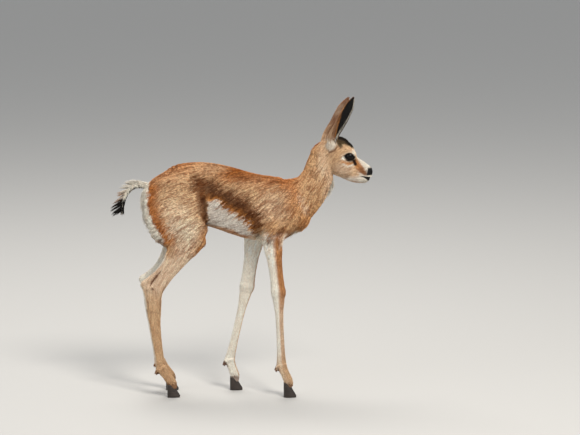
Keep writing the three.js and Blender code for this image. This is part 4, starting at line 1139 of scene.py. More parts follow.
def dress(obj: bpy.types.Object, material: bpy.types.Material, slot: str, *nodes: str) -> None:
    """Gives a piece its material and body, and hides the nodes that it stands for.

    Args:
        obj: the piece.
        material: its material.
        slot: its finish slot; not used.
        nodes: names of the solids that it takes the place of.
    """
    obj.data.materials.clear()
    obj.data.materials.append(material)
    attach(obj, BODY)
    if nodes:
        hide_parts(*nodes)
    LOG.info("%s: %d faces", obj.name, len(obj.data.polygons))


@dataclass
class Ear:
    """An upright leaf of an ear: a thin shell, rolled into a tube at its root."""

    side: str
    half_widths: tuple = (19, 26, 22, 19.5, 14.5, 2.4)
    half_turns: tuple = (2.9, 2.4, 1.8, 1.3, 0.95, 0.5)
    front_edge: tuple = ((0.2, 0.35, 0.5, 0.75, 1.0), (212, 216, 221, 234, 250))
    rows: int = 56
    cols: int = 36

    def __post_init__(self) -> None:
        """Samples the ear's own axes from root to tip."""
        s = SIDES[self.side]
        line = np.array(EAR_LINES[self.side], float) * np.array([1, s, 1])
        self.t = np.linspace(0, 1, self.rows)
        self.place = spline(line, self.t)
        self.along = tangent(line, self.t)
        self.facing = unit(flatten(np.array([0.55, s * 0.83, 0.0]), self.along))
        self.sideways = np.cross(self.along, self.facing)
        self.half = self.curve(self.half_widths)
        self.turn = self.curve(self.half_turns)
        self.radius = self.half / self.turn

    def curve(self, values: tuple) -> Array:
        """A smooth run of one size from root to tip."""
        return spline(np.array(values, float)[:, None] * [1, 0, 0], self.t)[:, 0]

    def row_of(self, t: Array) -> Array:
        """The numbers of the rows nearest to shares from root to tip."""
        return (t * (self.rows - 1)).round().astype(int)

    def shell(self) -> tuple[Array, Array]:
        """Points and quads of the closed shell."""
        f = np.sin(np.linspace(-math.pi / 2, math.pi / 2, self.cols))
        angle = self.turn[:, None] * f
        cos, sin = np.cos(angle)[..., None], np.sin(angle)[..., None]
        radius = self.radius[:, None, None]
        facing, sideways = self.facing[:, None], self.sideways[:, None]
        back = self.place[:, None] + facing * radius * (1 - cos) + sideways * radius * sin
        inward = facing * cos - sideways * sin
        wall = (2.0 - 1.3 * f**2)[None, :, None] * (1 - 0.55 * self.t)[:, None, None]
        waves = 0.35 * np.sin(angle * 5)[..., None] * np.sin(self.t * math.pi)[:, None, None]
        outer = back + inward * 0.3
        inner = back + inward * (np.maximum(wall - 0.3, 0.45) + 0.3 + waves * (wall > 1))
        points = np.concatenate([outer.reshape(-1, 3), inner.reshape(-1, 3)])
        return points, self.faces()

    def faces(self) -> Array:
        """Quads over the back, the cup and the rim."""
        rows, cols = self.rows, self.cols
        i, j = np.meshgrid(np.arange(rows - 1), np.arange(cols - 1), indexing="ij")
        a = (i * cols + j).ravel()
        half = rows * cols
        front = np.stack([a, a + 1, a + cols + 1, a + cols], axis=1)
        edge = list(range(cols)) + [i * cols + cols - 1 for i in range(1, rows)]
        edge += [(rows - 1) * cols + j for j in range(cols - 2, -1, -1)]
        edge += [i * cols for i in range(rows - 2, 0, -1)]
        a = np.array(edge)
        b = np.roll(a, -1)
        rim = np.stack([b, a, a + half, b + half], axis=1)
        return np.concatenate([front, front[:, ::-1] + half, rim])

    def locate(self, points: Array) -> tuple[Array, Array, Array]:
        """Where points lie on the ear.

        Args:
            points: places in millimetres.

        Returns:
            The share from root to tip, the share from the middle to the front rim, and a mask
            of the points that belong to the ear.
        """
        gap = np.linalg.norm(points[:, None] - self.place[None], axis=2)
        at = gap.argmin(axis=1)
        v = points - self.place[at]
        across = np.sum(v * self.sideways[at], axis=1) / self.half[at]
        depth = np.sum(v * self.facing[at], axis=1)
        t = self.t[at]
        radius = self.radius[at]
        round_gap = np.hypot(across * self.half[at], depth - radius) - radius
        own = (t > 0.16) & (np.abs(round_gap) < 3.5) & (gap.min(axis=1) < 30)
        return t, across * -SIDES[self.side], own

    def colour(self, c: Array, points: Array, normals: Array) -> tuple[Array, Array]:
        """Paints the ear.

        Args:
            c: the colours so far.
            points: places in millimetres.
            normals: outward directions there.

        Returns:
            The colours, and a mask of the cup's inner face.
        """
        t, front, own = self.locate(points)
        at = self.row_of(t)
        v = points - self.place[at]
        centre = self.facing[at] * self.radius[at][:, None]
        inside = own & (np.sum((centre - v) * normals, axis=1) > 0)
        brown = lattice_noise(points * np.array([1, 1, 0.35]), 3.0, 11)
        shift = [row[0] - other[0]
                 for row, other in zip(EAR_LINES[self.side], EAR_LINES["right"])]
        back = points[:, 0] - np.interp(t, *self.front_edge)
        back = back - np.interp(t, np.linspace(0, 1, len(shift)), shift)
        inside = inside & (back > -1.5)
        upper = smooth(0.7, 0.5, t)
        for mask, tone in (
            (own * smooth(0.1, 0.3, t), Tone.GREY),
            (own * smooth(-0.2, 0.6, brown) * smooth(0.2, 0.5, t) * 0.5, Tone.BROWN),
            (own * smooth(0.55, 0.8, -front) * 0.7, Tone.GINGER),
            (own * smooth(0.62, 0.3, t) * smooth(0.12, 0.3, t) * 0.4, Tone.FAWN),
            (own * smooth(0.8, 0.98, t) * 0.7, Tone.BROWN),
            (own * smooth(-16, -2, back) * upper * smooth(0.18, 0.28, t) * 0.6, Tone.BROWN),
            # black inside the cup: its dark skin, deepened by painted shade in the hollow
            (inside, Tone.BLACK),
            (inside * smooth(1.5, 0.0, back) * upper * 0.8, Tone.GINGER),
            (inside * smooth(0.84, 0.98, front) * smooth(0.3, 0.45, t), Tone.WHITE),
            (inside * smooth(0.90, 1.02, -front) * 0.8, Tone.GINGER),
        ):
            c = paint(c, mask, tone)
        return c, inside


class Part(Enum):
    """The charts that the skin unrolls into: an axis, the chart's corner and size, a girth."""

    TRUNK = ((-245, 0, 452), (140, 0, 440), (0.01, 0.01), (0.46, 0.46), 78)
    NECK = ((128, 0, 440), (188, 0, 565), (0.51, 0.01), (0.22, 0.22), 34)
    HEAD = ((180, 0, 572), (305, 0, 512), (0.51, 0.26), (0.22, 0.22), 32)
    HIND_RIGHT = ((-130, -32, 430), (-190, -42, 20), (0.01, 0.51), (0.22, 0.46), 26)
    HIND_LEFT = ((-136, 32, 430), (-190, 42, 20), (0.26, 0.51), (0.22, 0.46), 26)
    FORE_RIGHT = ((78, -33, 380), (95, -42, 20), (0.51, 0.51), (0.22, 0.46), 20)
    FORE_LEFT = ((30, 33, 380), (-20, 42, 20), (0.76, 0.51), (0.22, 0.46), 20)
    EAR_RIGHT = ((208, -26, 602), (254, -42, 696), (0.76, 0.01), (0.11, 0.22), 17)
    EAR_LEFT = ((191, 27, 598), (246, 42, 685), (0.88, 0.01), (0.11, 0.22), 17)
    TAIL = ((-205, 0, 484), (-274, 0, 424), (0.76, 0.26), (0.22, 0.22), 18)

    def unroll(self, points: Array) -> tuple[Array, Array]:
        """Places in the chart, and how many girths each point is from the part's axis."""
        start, end, corner, size = (np.array(value, float) for value in self.value[:4])
        edge = end - start
        share = (points - start) @ edge / (edge @ edge)
        v = points - start - np.clip(share, 0, 1)[:, None] * edge
        along = unit(edge)
        across = unit(np.cross(along, [0.0, 1.0, 0.0]))
        angle = np.arctan2(v @ across, v @ np.cross(along, across)) / (2 * math.pi) + 0.5
        place = np.stack([angle, np.clip(share * 0.8 + 0.1, 0, 1)], axis=1)
        return corner + place * size, np.linalg.norm(v, axis=1) / self.value[4]


def unwrap(points: Array) -> Array:
    """The place of each point on the unrolled skin."""
    places, gaps = zip(*(part.unroll(points) for part in Part))
    return np.stack(places)[np.stack(gaps).argmin(axis=0), np.arange(len(points))]


def add_patches(obj: bpy.types.Object, roots: Array, corners: Array) -> None:
    """Gives each tuft its own small patch at its root's place.

    Args:
        obj: the piece of coat.
        roots: the root of each tuft.
        corners: for each loop, the tuft's number and its place in the patch from 0 to 1.
    """
    layer = obj.data.uv_layers.new(name="OFBake")
    place = unwrap(roots)[corners[:, 0].astype(int)] + (corners[:, 1:] - 0.5) * PATCH
    layer.data.foreach_set("uv", place.astype(np.float32).ravel())


@dataclass
class Skin:
    """One skin from the nose to the feet, with open lids, lips, nostrils and ears."""

    flesh: Flesh
    grid: tuple = (
        ((-284, 205, 2.9), (205, 304, 1.3)),
        ((-66, -26, 2.2), (-26, 26, 1.6), (26, 66, 2.2)),
        ((10, 486, 2.65), (486, 604, 1.45)),
    )
    lid_reach: float = 7.0
    eased_reach: float = 9.0
    gap: float = 0.3

    def __post_init__(self) -> None:
        """Shapes the ears."""
        self.ears = [Ear(side) for side in SIDES]

    def build(self) -> bpy.types.Object:
        """Makes the skin as one closed mesh."""
        points, quads = surface_net(self.flesh, [lines(*spans) for spans in self.grid])
        LOG.info("net of %d quads", len(quads))
        for share in (0.5, 0.35):
            points = self.flesh.settle(relax(points, quads, share), 1, 1.5)
        for s in SIDES.values():
            points, quads = self.open_lids(points, quads, s)
        used, index = np.unique(quads, return_inverse=True)
        faces = index.reshape(quads.shape)
        body = new_object("skin", points[used], faces)
        for ear in self.ears:
            self.unite(body, ear)
        return body

    def open_lids(self, points: Array, quads: Array, s: float) -> tuple[Array, Array]:
        """Cuts the opening of one eye and turns the lids in to a closed socket.

        Args:
            points: the net's points.
            quads: its faces.
            s: 1 for the left eye, -1 for the right.

        Returns:
            The points and faces of the new net.
        """
        centre = EYE.centre(s)
        middle = points[quads].mean(axis=1)
        near = np.linalg.norm(middle - centre, axis=1) < EYE.radius + self.lid_reach
        inside = near & (EYE.opening(middle[:, 0], middle[:, 2]) < 1) & (middle[:, 1] * s > EYE.y)
        gone, kept = quads[inside], quads[~inside]
        edges = {(a, b) for quad in gone.tolist() for a, b in zip(quad, quad[1:] + quad[:1])}
        border = {a: b for a, b in edges if (b, a) not in edges}
        loop = [next(iter(border))]
        while border[loop[-1]] != loop[0]:
            loop.append(border[loop[-1]])
        loop = np.array(loop)
        rim = points[loop]
        ring = EYE.opening(rim[:, 0], rim[:, 2])[:, None]
        rim[:, [0, 2]] = centre[[0, 2]] + (rim[:, [0, 2]] - centre[[0, 2]]) / ring
        points[loop] = self.flesh.settle(rim, 2, 1.0)
        around = np.linalg.norm(points - centre, axis=1) < EYE.radius + self.eased_reach
        for _ in range(3):
            even = relax(points, kept, 0.5)
            even[loop] = points[loop]
            move = around & np.isin(np.arange(len(points)), kept)
            move[loop] = False
            points[move] = self.flesh.settle(even[move], 1, 1.0)
        return self.socket(points, kept, loop, s)

    def socket(self, points: Array, quads: Array, loop: Array, s: float) -> tuple[Array, Array]:
        """Closes an eye's opening with rings in over the eyeball and round behind it.

        Args:
            points: the net's points.
            quads: the net's faces, open at the eye.
            loop: the points of the lids' edge in their order.
            s: 1 for the left eye, -1 for the right.

        Returns:
            The points and faces of the closed net.
        """
        centre = EYE.centre(s)
        rim = points[loop] - centre
        axis = EYE.axis(s)
        away = unit(rim)
        start = np.arccos(np.clip(away @ axis, -1, 1))
        spoke = unit(away - (away @ axis)[:, None] * axis)
        reach = np.linalg.norm(rim, axis=1)
        levels = [(0.0, -0.02, 0.55), (0.0, 0.0, 0.12)]
        levels += [(share, 0.0, 0.0) for share in (0.06, 0.2, 0.4, 0.6, 0.8, 0.93)]
        rows = [loop]
        cup = EYE.radius + self.gap
        for share, inward, lift in levels:
            angle = start + inward + (math.pi - start) * share
            distance = cup + (reach - cup) * lift
            ray = np.cos(angle)[:, None] * axis + np.sin(angle)[:, None] * spoke
            rows.append(np.arange(len(loop)) + len(points))
            points = np.concatenate([points, centre + ray * distance[:, None]])
        tip = len(points)
        points = np.concatenate([points, [centre - axis * cup]])
        faces = [quads]
        for a, b in zip(rows, rows[1:]):
            faces.append(np.stack([a, np.roll(a, -1), np.roll(b, -1), b], axis=1))
        last = rows[-1]
        pairs = last if len(last) % 2 == 0 else np.append(last, last[0])
        first, mid = pairs[0::2], pairs[1::2]
        faces.append(np.stack([first, mid, np.roll(first, -1), np.full(len(first), tip)], axis=1))
        return points, np.concatenate(faces)

    @staticmethod
    def unite(body: bpy.types.Object, ear: Ear) -> None:
        """Joins an ear to the body in one closed mesh."""
        points, faces = ear.shell()
        tool = new_object("ear_tool", points, faces)
        union = body.modifiers.new("ear", "BOOLEAN")
        union.operation = "UNION"
        union.solver = "EXACT"
        union.object = tool
        apply_modifiers(body)
        body.data.name = body.name
        bpy.data.objects.remove(tool)


@dataclass
class Painter:
    """Works out the colours and the lie of the coat anywhere on the skin."""

    ears: list[Ear]
    markings: Markings = Markings()
    ears_from: float = 575.0
    ground_hair: tuple[float, float] = (35.0, 31.0)

    def look(self, points: Array, normals: Array) -> tuple[Array, Array, Array]:
        """Colours, lie and where the skin is bare.

        Args:
            points: places in millimetres.
            normals: outward directions there.

        Returns:
            Rows of colours, rows of directions, and a mask of bare skin.
        """
        colour = self.markings.tone_at(points, normals)
        lie = lie_of(points, normals)
        side = np.abs(points[:, 1])
        bare = Markings.bare(points[:, 0], side, points[:, 2]) * (points[:, 2] > HEAD_FROM)
        near = np.flatnonzero((points[:, 2] > self.ears_from) & (side > 8))
        for ear in self.ears:
            own = near[points[near, 1] * SIDES[ear.side] > 0]
            colour[own], inside = ear.colour(colour[own], points[own], normals[own])
            t, _, on_ear = ear.locate(points[own])
            grow = unit(flatten(ear.along[ear.row_of(t)], normals[own]))
            lie[own[on_ear]] = grow[on_ear]
            bare[own] = np.maximum(bare[own], inside * 0.85)
        bare = np.maximum(bare, smooth(*self.ground_hair, points[:, 2]))
        return colour, lie, bare


@dataclass(frozen=True)
class Pelt:
    """The size and closeness of tufts on one region, in millimetres and tufts a square one."""

    length: float
    width: float
    density: float
    lift: float


def on_face(x: Array, z: Array) -> Array:
    """How far a place belongs to the head, whose coat is short and fine."""
    return smooth(168, 206, x + 0.5 * (z - 560)) * smooth(HEAD_FROM, 500, z)


@dataclass
class Coat:
    """Tufts of short fur over the whole skin, in pieces."""

    skin: bpy.types.Object
    painter: Painter
    body: Pelt = Pelt(9.5, 1.05, 0.46, 1.5)
    leg: Pelt = Pelt(5.0, 0.7, 0.8, 0.6)
    head: Pelt = Pelt(3.6, 0.55, 1.25, 0.35)
    ear: Pelt = Pelt(3.4, 0.5, 1.1, 0.3)
    pieces: int = 8
    seed: int = 11

    def __post_init__(self) -> None:
        """Reads the skin's triangles."""
        mesh = self.skin.data
        mesh.calc_loop_triangles()
        corners = np.empty(len(mesh.loop_triangles) * 3, np.int32)
        mesh.loop_triangles.foreach_get("vertices", corners)
        self.triangles = corners.reshape(-1, 3)
        self.points, self.normals = surface_of(mesh)

    def sizes(self, points: Array) -> Array:
        """Length, width, closeness and lift of the tufts at places on the skin.

        Args:
            points: places in millimetres.

        Returns:
            A row of the four for each place.
        """
        x, _, z = points.T
        pelts = np.array([astuple(pelt) for pelt in (self.body, self.leg, self.head, self.ear)])
        size = pelts[0]
        shares = (smooth(352, 300, z), on_face(x, z), smooth(598, 612, z))
        for pelt, share in zip(pelts[1:], shares):
            size = size + (pelt - size) * share[:, None]
        muzzle = smooth(250, 285, x) * (z > HEAD_FROM)
        for column, change in enumerate((-0.45, -0.25, 0.5)):
            size[:, column] *= 1 + change * muzzle
        return size

    def scatter(self, rng: np.random.Generator) -> dict[str, Array]:
        """Draws the roots of the tufts.

        Args:
            rng: the coat's random draws.

        Returns:
            Their roots, normals, colours, lie and sizes.
        """
        a, b, c = (self.points[self.triangles[:, k]] for k in range(3))
        area = np.linalg.norm(np.cross(b - a, c - a), axis=1) / 2
        total = area * self.sizes((a + b + c) / 3)[:, 2]
        count = int(total.sum())
        pick = rng.choice(len(total), count, p=total / total.sum())
        r = np.sqrt(rng.random(count))
        s = rng.random(count)
        weights = np.stack([1 - r, r * (1 - s), r * s], axis=1)
        ids = self.triangles[pick]
        root = np.einsum("ij,ijk->ik", weights, self.points[ids])
        normal = unit(np.einsum("ij,ijk->ik", weights, self.normals[ids]))
        colour, lie, bare = self.painter.look(root, normal)
        keep = rng.random(count) > bare
        for side in SIDES.values():
            keep &= np.linalg.norm(root - EYE.centre(side), axis=1) > EYE.radius + EYE.bare
        tufts = {"root": root, "normal": normal, "colour": colour, "lie": lie}
        tufts = {name: rows[keep] for name, rows in tufts.items()}
        tufts["size"] = self.sizes(tufts["root"])
        LOG.info("coat: %d tufts", keep.sum())
        return tufts

    def tones(self, rng: np.random.Generator, tufts: dict[str, Array], way: Array,
              length: Array) -> tuple[Array, Array]:
        """Colours of the tufts, streaked along their lie and drawn out in clumps.

        Args:
            rng: the coat's random draws.
            tufts: the roots of the tufts, with their normals and colours.
            way: where each tuft points.
            length: how long each tuft is.

        Returns:
            The colour of each tuft, and how pale it is.
        """
        root, here = tufts["root"], tufts["colour"]
        x, _, z = root.T
        count = len(root)
        strand = 0.85 * streaks(root, way, 15.0, 1.7, 31) + 0.22 * streaks(root, way, 34.0, 5.0, 33)
        strand += (0.8 * streaks(root, way, 7.0, 1.0, 35) - strand) * on_face(x, z)
        strand *= 1 - 0.5 * smooth(350, 280, z)
        clump = streaks(root, way, 26.0, 3.6, 37)
        shift = length * np.clip(0.45 + 0.9 * clump + rng.normal(0, 0.3, count), -0.4, 1.9)
        rump = smooth(-165, -195, x) * smooth(350, 375, z)
        front = smooth(-125, -105, x) * smooth(-60, -75, x) * smooth(485, 465, z)
        shift *= 1 - 0.8 * np.maximum(rump, front)
        colour, _, _ = self.painter.look(root - way * shift[:, None], tufts["normal"])
        spill = smooth(0.30, 0.45, colour[:, 2]) - smooth(0.30, 0.45, here[:, 2])
        colour = colour + (here - colour) * np.clip(spill, 0, 1)[:, None]
        pale = smooth(0.30, 0.52, colour[:, 2])[:, None]
        shade = 1.08 + (0.46 * strand + rng.normal(0, 0.17, count))[:, None] * (1 - 0.55 * pale)
        warm = 1 - 0.3 * np.clip(-strand, -0.4, 1)[:, None] * (1 - 0.7 * pale) * [0.0, 0.7, 1.0]
        return np.clip(colour * shade * warm, 0.002, BRIGHTEST), pale

    def build(self, material: bpy.types.Material) -> None:
        """Makes the pieces of the coat: each tuft has a root, a middle of three and a tip."""
        rng = np.random.default_rng(self.seed)
        tufts = self.scatter(rng)
        root, normal, lie = tufts["root"], tufts["normal"], tufts["lie"]
        count = len(root)
        length, width, _, lift = tufts["size"].T
        sway = lattice_noise(root, 9.0, 21) * 0.22 + rng.normal(0, 0.10, count)
        way = unit(lie + np.cross(normal, lie) * sway[:, None])
        length = length * rng.uniform(0.75, 1.2, count)
        rise = lift * rng.uniform(0.7, 1.35, count)
        colour, pale = self.tones(rng, tufts, way, length)
        thick = (width * 0.30)[:, None] * normal
        middle = root + way * (length * 0.42)[:, None] + normal * (rise * 0.75)[:, None]
        half = np.cross(normal, way) * (width / 2)[:, None]
        tip = root + way * length[:, None] + normal * (rise * 0.55)[:, None]
        points = np.stack([root - normal * 0.45, middle - half, middle + half, middle + thick, tip],
                          axis=1)
        # Each tuft is darker at its root, as painted shade among the tufts, and lighter at its tip,
        # as a painted highlight.
        tints = np.stack([colour * share for share in (0.55 + 0.3 * pale, 0.96, 0.96, 1.05)]
                         + [np.minimum(colour * 1.2, BRIGHTEST)], axis=1)
        faces = np.array([[0, 2, 1], [0, 1, 3], [0, 3, 2], [4, 1, 2], [4, 3, 1], [4, 2, 3]])
        chart = np.array([[0.5, 0.0], [0.0, 0.5], [1.0, 0.5], [0.5, 0.55], [0.5, 1.0]])
        corners = len(chart)
        order = np.argsort(root[:, 0] * 0.7 + root[:, 2] * 0.3, kind="stable")
        for number, rows in enumerate(np.array_split(order, self.pieces)):
            all_faces = (faces + np.arange(len(rows))[:, None, None] * corners).reshape(-1, 3)
            obj = new_object(f"coat_{number + 1}", points[rows].reshape(-1, 3), all_faces)
            store(obj.data, "tint", tints[rows].reshape(-1, 3))
            tuft, corner = np.divmod(all_faces.ravel(), corners)
            add_patches(obj, root[rows], np.c_[tuft, chart[corner]])
            dress(obj, material, "coat")


@dataclass
class Blades:
    """Long hair as closed three-sided blades that bend from one way to another."""

    name: str
    root: Array
    leave: Array
    bend: Array
    length: Array
    width: Array
    near: Array
    far: Array
    rows: int = 6

    def build(self, material: bpy.types.Material, slot: str, *nodes: str) -> None:
        """Makes the blades as one piece."""
        count = len(self.root)
        place = self.root.copy()
        step = (self.length / (self.rows - 1))[:, None]
        rings, tints = [], []
        for share in np.arange(self.rows) / (self.rows - 1):
            way = unit(self.leave * (1 - share) + self.bend * share)
            if share:
                place = place + way * step
            side = unit(np.cross(way, np.array([0.03, 1.0, 0.02])))
            other = np.cross(way, side)
            reach = (self.width / 2 * (1 - share**1.7) + 0.05)[:, None]
            for turn, flat in ((0.5, 1.0), (2.6, 1.0), (4.7, 0.55)):
                spoke = other * math.cos(turn) + side * math.sin(turn) * 0.5
                rings.append(place + spoke * reach * flat)
                tints.append(self.near * (1 - share) + self.far * share)
        size = 3 * self.rows
        faces = [[2, 1, 0], [size - 3, size - 2, size - 1]]
        for i in range(0, size - 3, 3):
            for k in range(3):
                a, b = i + k, i + (k + 1) % 3
                faces += [[a, b, b + 3], [a, b + 3, a + 3]]
        faces = (np.array(faces) + np.arange(count)[:, None, None] * size).reshape(-1, 3)
        obj = new_object(self.name, np.stack(rings, axis=1).reshape(-1, 3), faces)
        store(obj.data, "tint", np.stack(tints, axis=1).reshape(-1, 3))
        blade, rank = np.divmod(faces.ravel(), size)
        add_patches(obj, self.root, np.c_[blade, rank % 3 / 2, rank // 3 / (self.rows - 1)])
        dress(obj, material, slot, *nodes)


@dataclass
class Tail:
    """The brush of the tail: white with a black line below, and a black tuft at its end.

    Short core hair covers the dock, and a fan of longer hair stands out from it in locks.
    """

    core: int = 1300
    fan: int = 1500
    locks: int = 32
    seed: int = 5

    def build(self, material: bpy.types.Material) -> None:
        """Grows the brush out of the dock."""
        rng = np.random.default_rng(self.seed)
        line = np.array([(x, 0, z) for x, z in TAIL], float)
        count, locks = self.core + self.fan, self.locks
        fan = np.arange(count) >= self.core
        lock = rng.integers(0, locks, count)
        lock_t = 0.17 + 0.8 * (np.arange(locks) + rng.uniform(-0.4, 0.4, locks)) / locks
        lock_turn = rng.normal(0, 0.4, locks)
        lock_size = rng.uniform(0.75, 1.15, locks)
        lock_open = rng.normal(0, 0.25, locks)
        in_lock = lock_t[lock] + rng.normal(0, 0.012, count)
        t = np.where(fan, in_lock, 0.02 + 0.96 * rng.random(count))
        place = spline(line, t)
        along = tangent(line, t)
        outward = np.cross(along, [0.0, 1.0, 0.0])
        above = np.sum(outward * [-0.6, 0, 0.8], axis=1, keepdims=True)
        outward *= np.where(above < 0, -1.0, 1.0)
        around = rng.uniform(-math.pi, math.pi, count)
        angle = np.where(fan, lock_turn[lock] + rng.normal(0, 0.12, count), around)
        upward = np.cos(angle)
        radial = outward * upward[:, None] + np.array([0, 1.0, 0]) * np.sin(angle)[:, None]
        girth = np.where(upward > 0, 4.6, 3.6) * (1 - 0.3 * t)
        root = place + radial * (girth - np.where(fan, 2.5, 0.8))[:, None]
        end = smooth(0.62, 0.85, t)
        open_out = np.where(fan, 1.25 + 0.25 * end + lock_open[lock], 0.16 + 0.12 * end)
        brush = np.interp(t, [0.15, 0.3, 0.6, 0.78, 1.0], [10, 22, 25, 33, 26]) * lock_size[lock]
        brush *= rng.uniform(0.75, 1.05, count)
        length = np.where(fan, brush, 10 * rng.uniform(0.8, 1.2, count))
        gather = 1 - np.where(fan, (t - lock_t[lock]) * 100 / length, 0.0)[:, None]
        leave = unit(radial * open_out[:, None] + along * gather)
        bend = unit(radial * (open_out * 0.6)[:, None] + along * gather)
        dark = smooth(0.64, 0.70, t + 0.04 * lattice_noise(place, 5.0, 9))
        dark = np.maximum(dark, smooth(-0.15, -0.4, upward) * ~fan)[:, None]
        white = Tone.WHITE.rgb * rng.uniform(0.8, 1.15, (count, 1))
        near = white * (1 - dark) + Tone.BLACK.rgb * 1.6 * dark
        ginger = fan * (rng.random(count) < 0.8) * smooth(0.46, 0.58, t) * smooth(0.78, 0.66, t)
        ginger = ginger[:, None]
        far = near * (1 - ginger) + Tone.GINGER.rgb * 0.8 * ginger
        width = np.where(fan, rng.uniform(0.8, 1.3, count), rng.uniform(1.1, 1.8, count))
        width = width * (1 + 0.6 * end)
        brush = Blades("tail_brush", root, leave, bend, length, width, near, far)
        brush.build(material, "tail_hair", "tail")


@dataclass(frozen=True)
class Fringe:
    """A row of longer hair along a line on the skin."""

    line: tuple
    way: tuple
    length: float
    tone: Tone
    count: int
    out: float = 0.25


FRINGES = (
    Fringe(((-212, 20, 474), (-224, 18, 452), (-226, 18, 428), (-218, 20, 408), (-200, 24, 394)),
           (-0.8, -0.7), 12, Tone.WHITE, 560, 0.9),
    Fringe(((-222, 6, 470), (-229, 6, 448), (-228, 6, 425), (-216, 6, 404), (-196, 8, 390)),
           (-0.6, -0.9), 12, Tone.WHITE, 420, 0.8),
    Fringe(((-200, 26, 392), (-188, 30, 380), (-182, 32, 366)), (-0.4, -1.0), 9, Tone.RUSSET, 160),
    Fringe(((66, 36, 400), (54, 37, 390), (44, 36, 380), (38, 34, 372)),
           (-0.66, -0.75), 23, Tone.CREAM, 230, 0.1),
    Fringe(((74, 36, 410), (58, 38, 402), (44, 38, 392)), (-0.66, -0.75), 20, Tone.TAN, 200, 0.12),
    Fringe(((60, 36, 402), (46, 37, 388), (38, 34, 374)),
           (-0.66, -0.75), 20, Tone.BROWN, 110, 0.1),
    Fringe(((96, 22, 372), (112, 18, 376), (128, 12, 384)), (-0.5, -1.0), 14, Tone.WHITE, 150, 0.4),
    Fringe(((209, 4, 500), (208, 5, 488), (203, 6, 472)), (0.35, -0.9), 14, Tone.SNOW, 300, 0.6),
    Fringe(((146, 8, 402), (156, 10, 412), (140, 9, 392)), (-0.6, -0.8), 11, Tone.GINGER, 160, 0.2),
    Fringe(((180, 3, 589), (175, 4, 582), (170, 5, 570)), (-0.9, -0.35), 9, Tone.RUSSET, 90, 0.5),
    Fringe(((112, 5, 506), (60, 6, 512), (20, 6, 516), (-30, 6, 530), (-90, 6, 542), (-150, 6, 531),
            (-192, 6, 504)), (-1.0, -0.1), 9, Tone.GINGER, 560, 0.1),
    Fringe(((100, 31, 376), (112, 27, 379), (126, 20, 388)),
           (-0.55, -0.85), 19, Tone.GINGER, 230, 0.25),
)


@dataclass
class LongHair:
    """Longer hair of rump, elbows, throat, breast, poll and back."""

    fringes: tuple[Fringe, ...] = FRINGES
    seed: int = 29

    def build(self, flesh: Flesh, material: bpy.types.Material) -> None:
        """Grows every fringe as one piece."""
        rng = np.random.default_rng(self.seed)
        rows = [self.grow(fringe, s, flesh, rng) for fringe in self.fringes
                for s in SIDES.values()]
        root, leave, bend, length, tone = joined(rows)
        width = rng.uniform(0.6, 1.1, len(root))
        # The hair is darker at the root, as painted shade, and lighter towards the tip.
        hair = Blades("long_hair", root, leave, bend, length, width, tone * 0.75, tone * 1.15, 5)
        hair.build(material, "coat")

    @staticmethod
    def grow(fringe: Fringe, s: float, flesh: Flesh, rng: np.random.Generator) -> tuple:
        """Grows one fringe on one side.

        Args:
            fringe: the row of hair.
            s: 1 for the left side, -1 for the right.
            flesh: the body that it grows on.
            rng: the hair's random draws.

        Returns:
            Roots, ways at the root and at the tip, lengths and colours.
        """
        guess = spline(np.array(fringe.line, float) * [1, s, 1], rng.random(fringe.count))
        guess += rng.normal(0, 3.0, guess.shape)
        root = flesh.settle(guess, 4, 6.0)
        normal = flesh.normal(root)
        way = np.array([fringe.way[0], 0.0, fringe.way[1]])
        flat = unit(way - (normal @ way)[:, None] * normal + rng.normal(0, 0.08, root.shape))
        clump, sway = (lattice_noise(root, 4.5, seed) for seed in (41, 43))
        flat = unit(flat + np.cross(normal, flat) * (0.5 * sway)[:, None])
        rise = fringe.out * (1 + 0.7 * clump) * rng.uniform(0.6, 1.4, fringe.count)
        leave = unit(flat + normal * rise[:, None])
        bend = unit(flat + unit(way) * 0.35 + normal * fringe.out * 0.3)
        length = fringe.length * (1 + 0.35 * clump) * rng.uniform(0.7, 1.15, fringe.count)
        tone = fringe.tone.rgb * rng.uniform(0.7, 1.15, (fringe.count, 1))
        return root - normal * 0.5, leave, bend, length, tone


@dataclass
class EarFringe:
    """Longer hair along the rims of the ears and across the mouth of each cup."""

    count: int = 420
    width: float = 0.55
    seed: int = 17

    def build(self, ears: list[Ear], material: bpy.types.Material) -> None:
        """Grows the fringe of both ears."""
        rng = np.random.default_rng(self.seed)
        root, leave, bend, length, tone = joined([self.grow(ear, rng) for ear in ears])
        width = np.full(len(root), self.width)
        hair = Blades("ear_fringe", root, leave, bend, length, width, tone * 0.9, tone, 4)
        hair.build(material, "coat")

    def grow(self, ear: Ear, rng: np.random.Generator) -> tuple:
        """Roots, ways at the root and at the tip, lengths and colours of one ear's fringe."""
        t = rng.uniform(0.16, 0.97, self.count)
        rear = rng.random(self.count) < 0.25
        at = ear.row_of(t)
        along, facing, sideways = ear.along[at], ear.facing[at], ear.sideways[at]
        front = np.where(rear, -1.0, 1.0) * -SIDES[ear.side]
        angle = ear.turn[at] * front * rng.uniform(0.86, 0.99, self.count)
        cos, sin = np.cos(angle)[:, None], np.sin(angle)[:, None]
        inward = facing * cos - sideways * sin
        shape = facing * (1 - cos) + sideways * sin
        root = ear.place[at] + shape * ear.radius[at][:, None] + inward
        leave = unit(along * 0.9 + inward * 0.55 + rng.normal(0, 0.1, (self.count, 3)))
        bend = unit(along + inward * 0.25 - sideways * front[:, None] * 0.25)
        length = np.where(rear, 5.0, 11.0) * (1 - 0.5 * t) * rng.uniform(0.7, 1.2, self.count)
        tone = np.where(rear[:, None], Tone.GINGER.rgb, Tone.WHITE.rgb)
        return root, leave, bend, length, tone


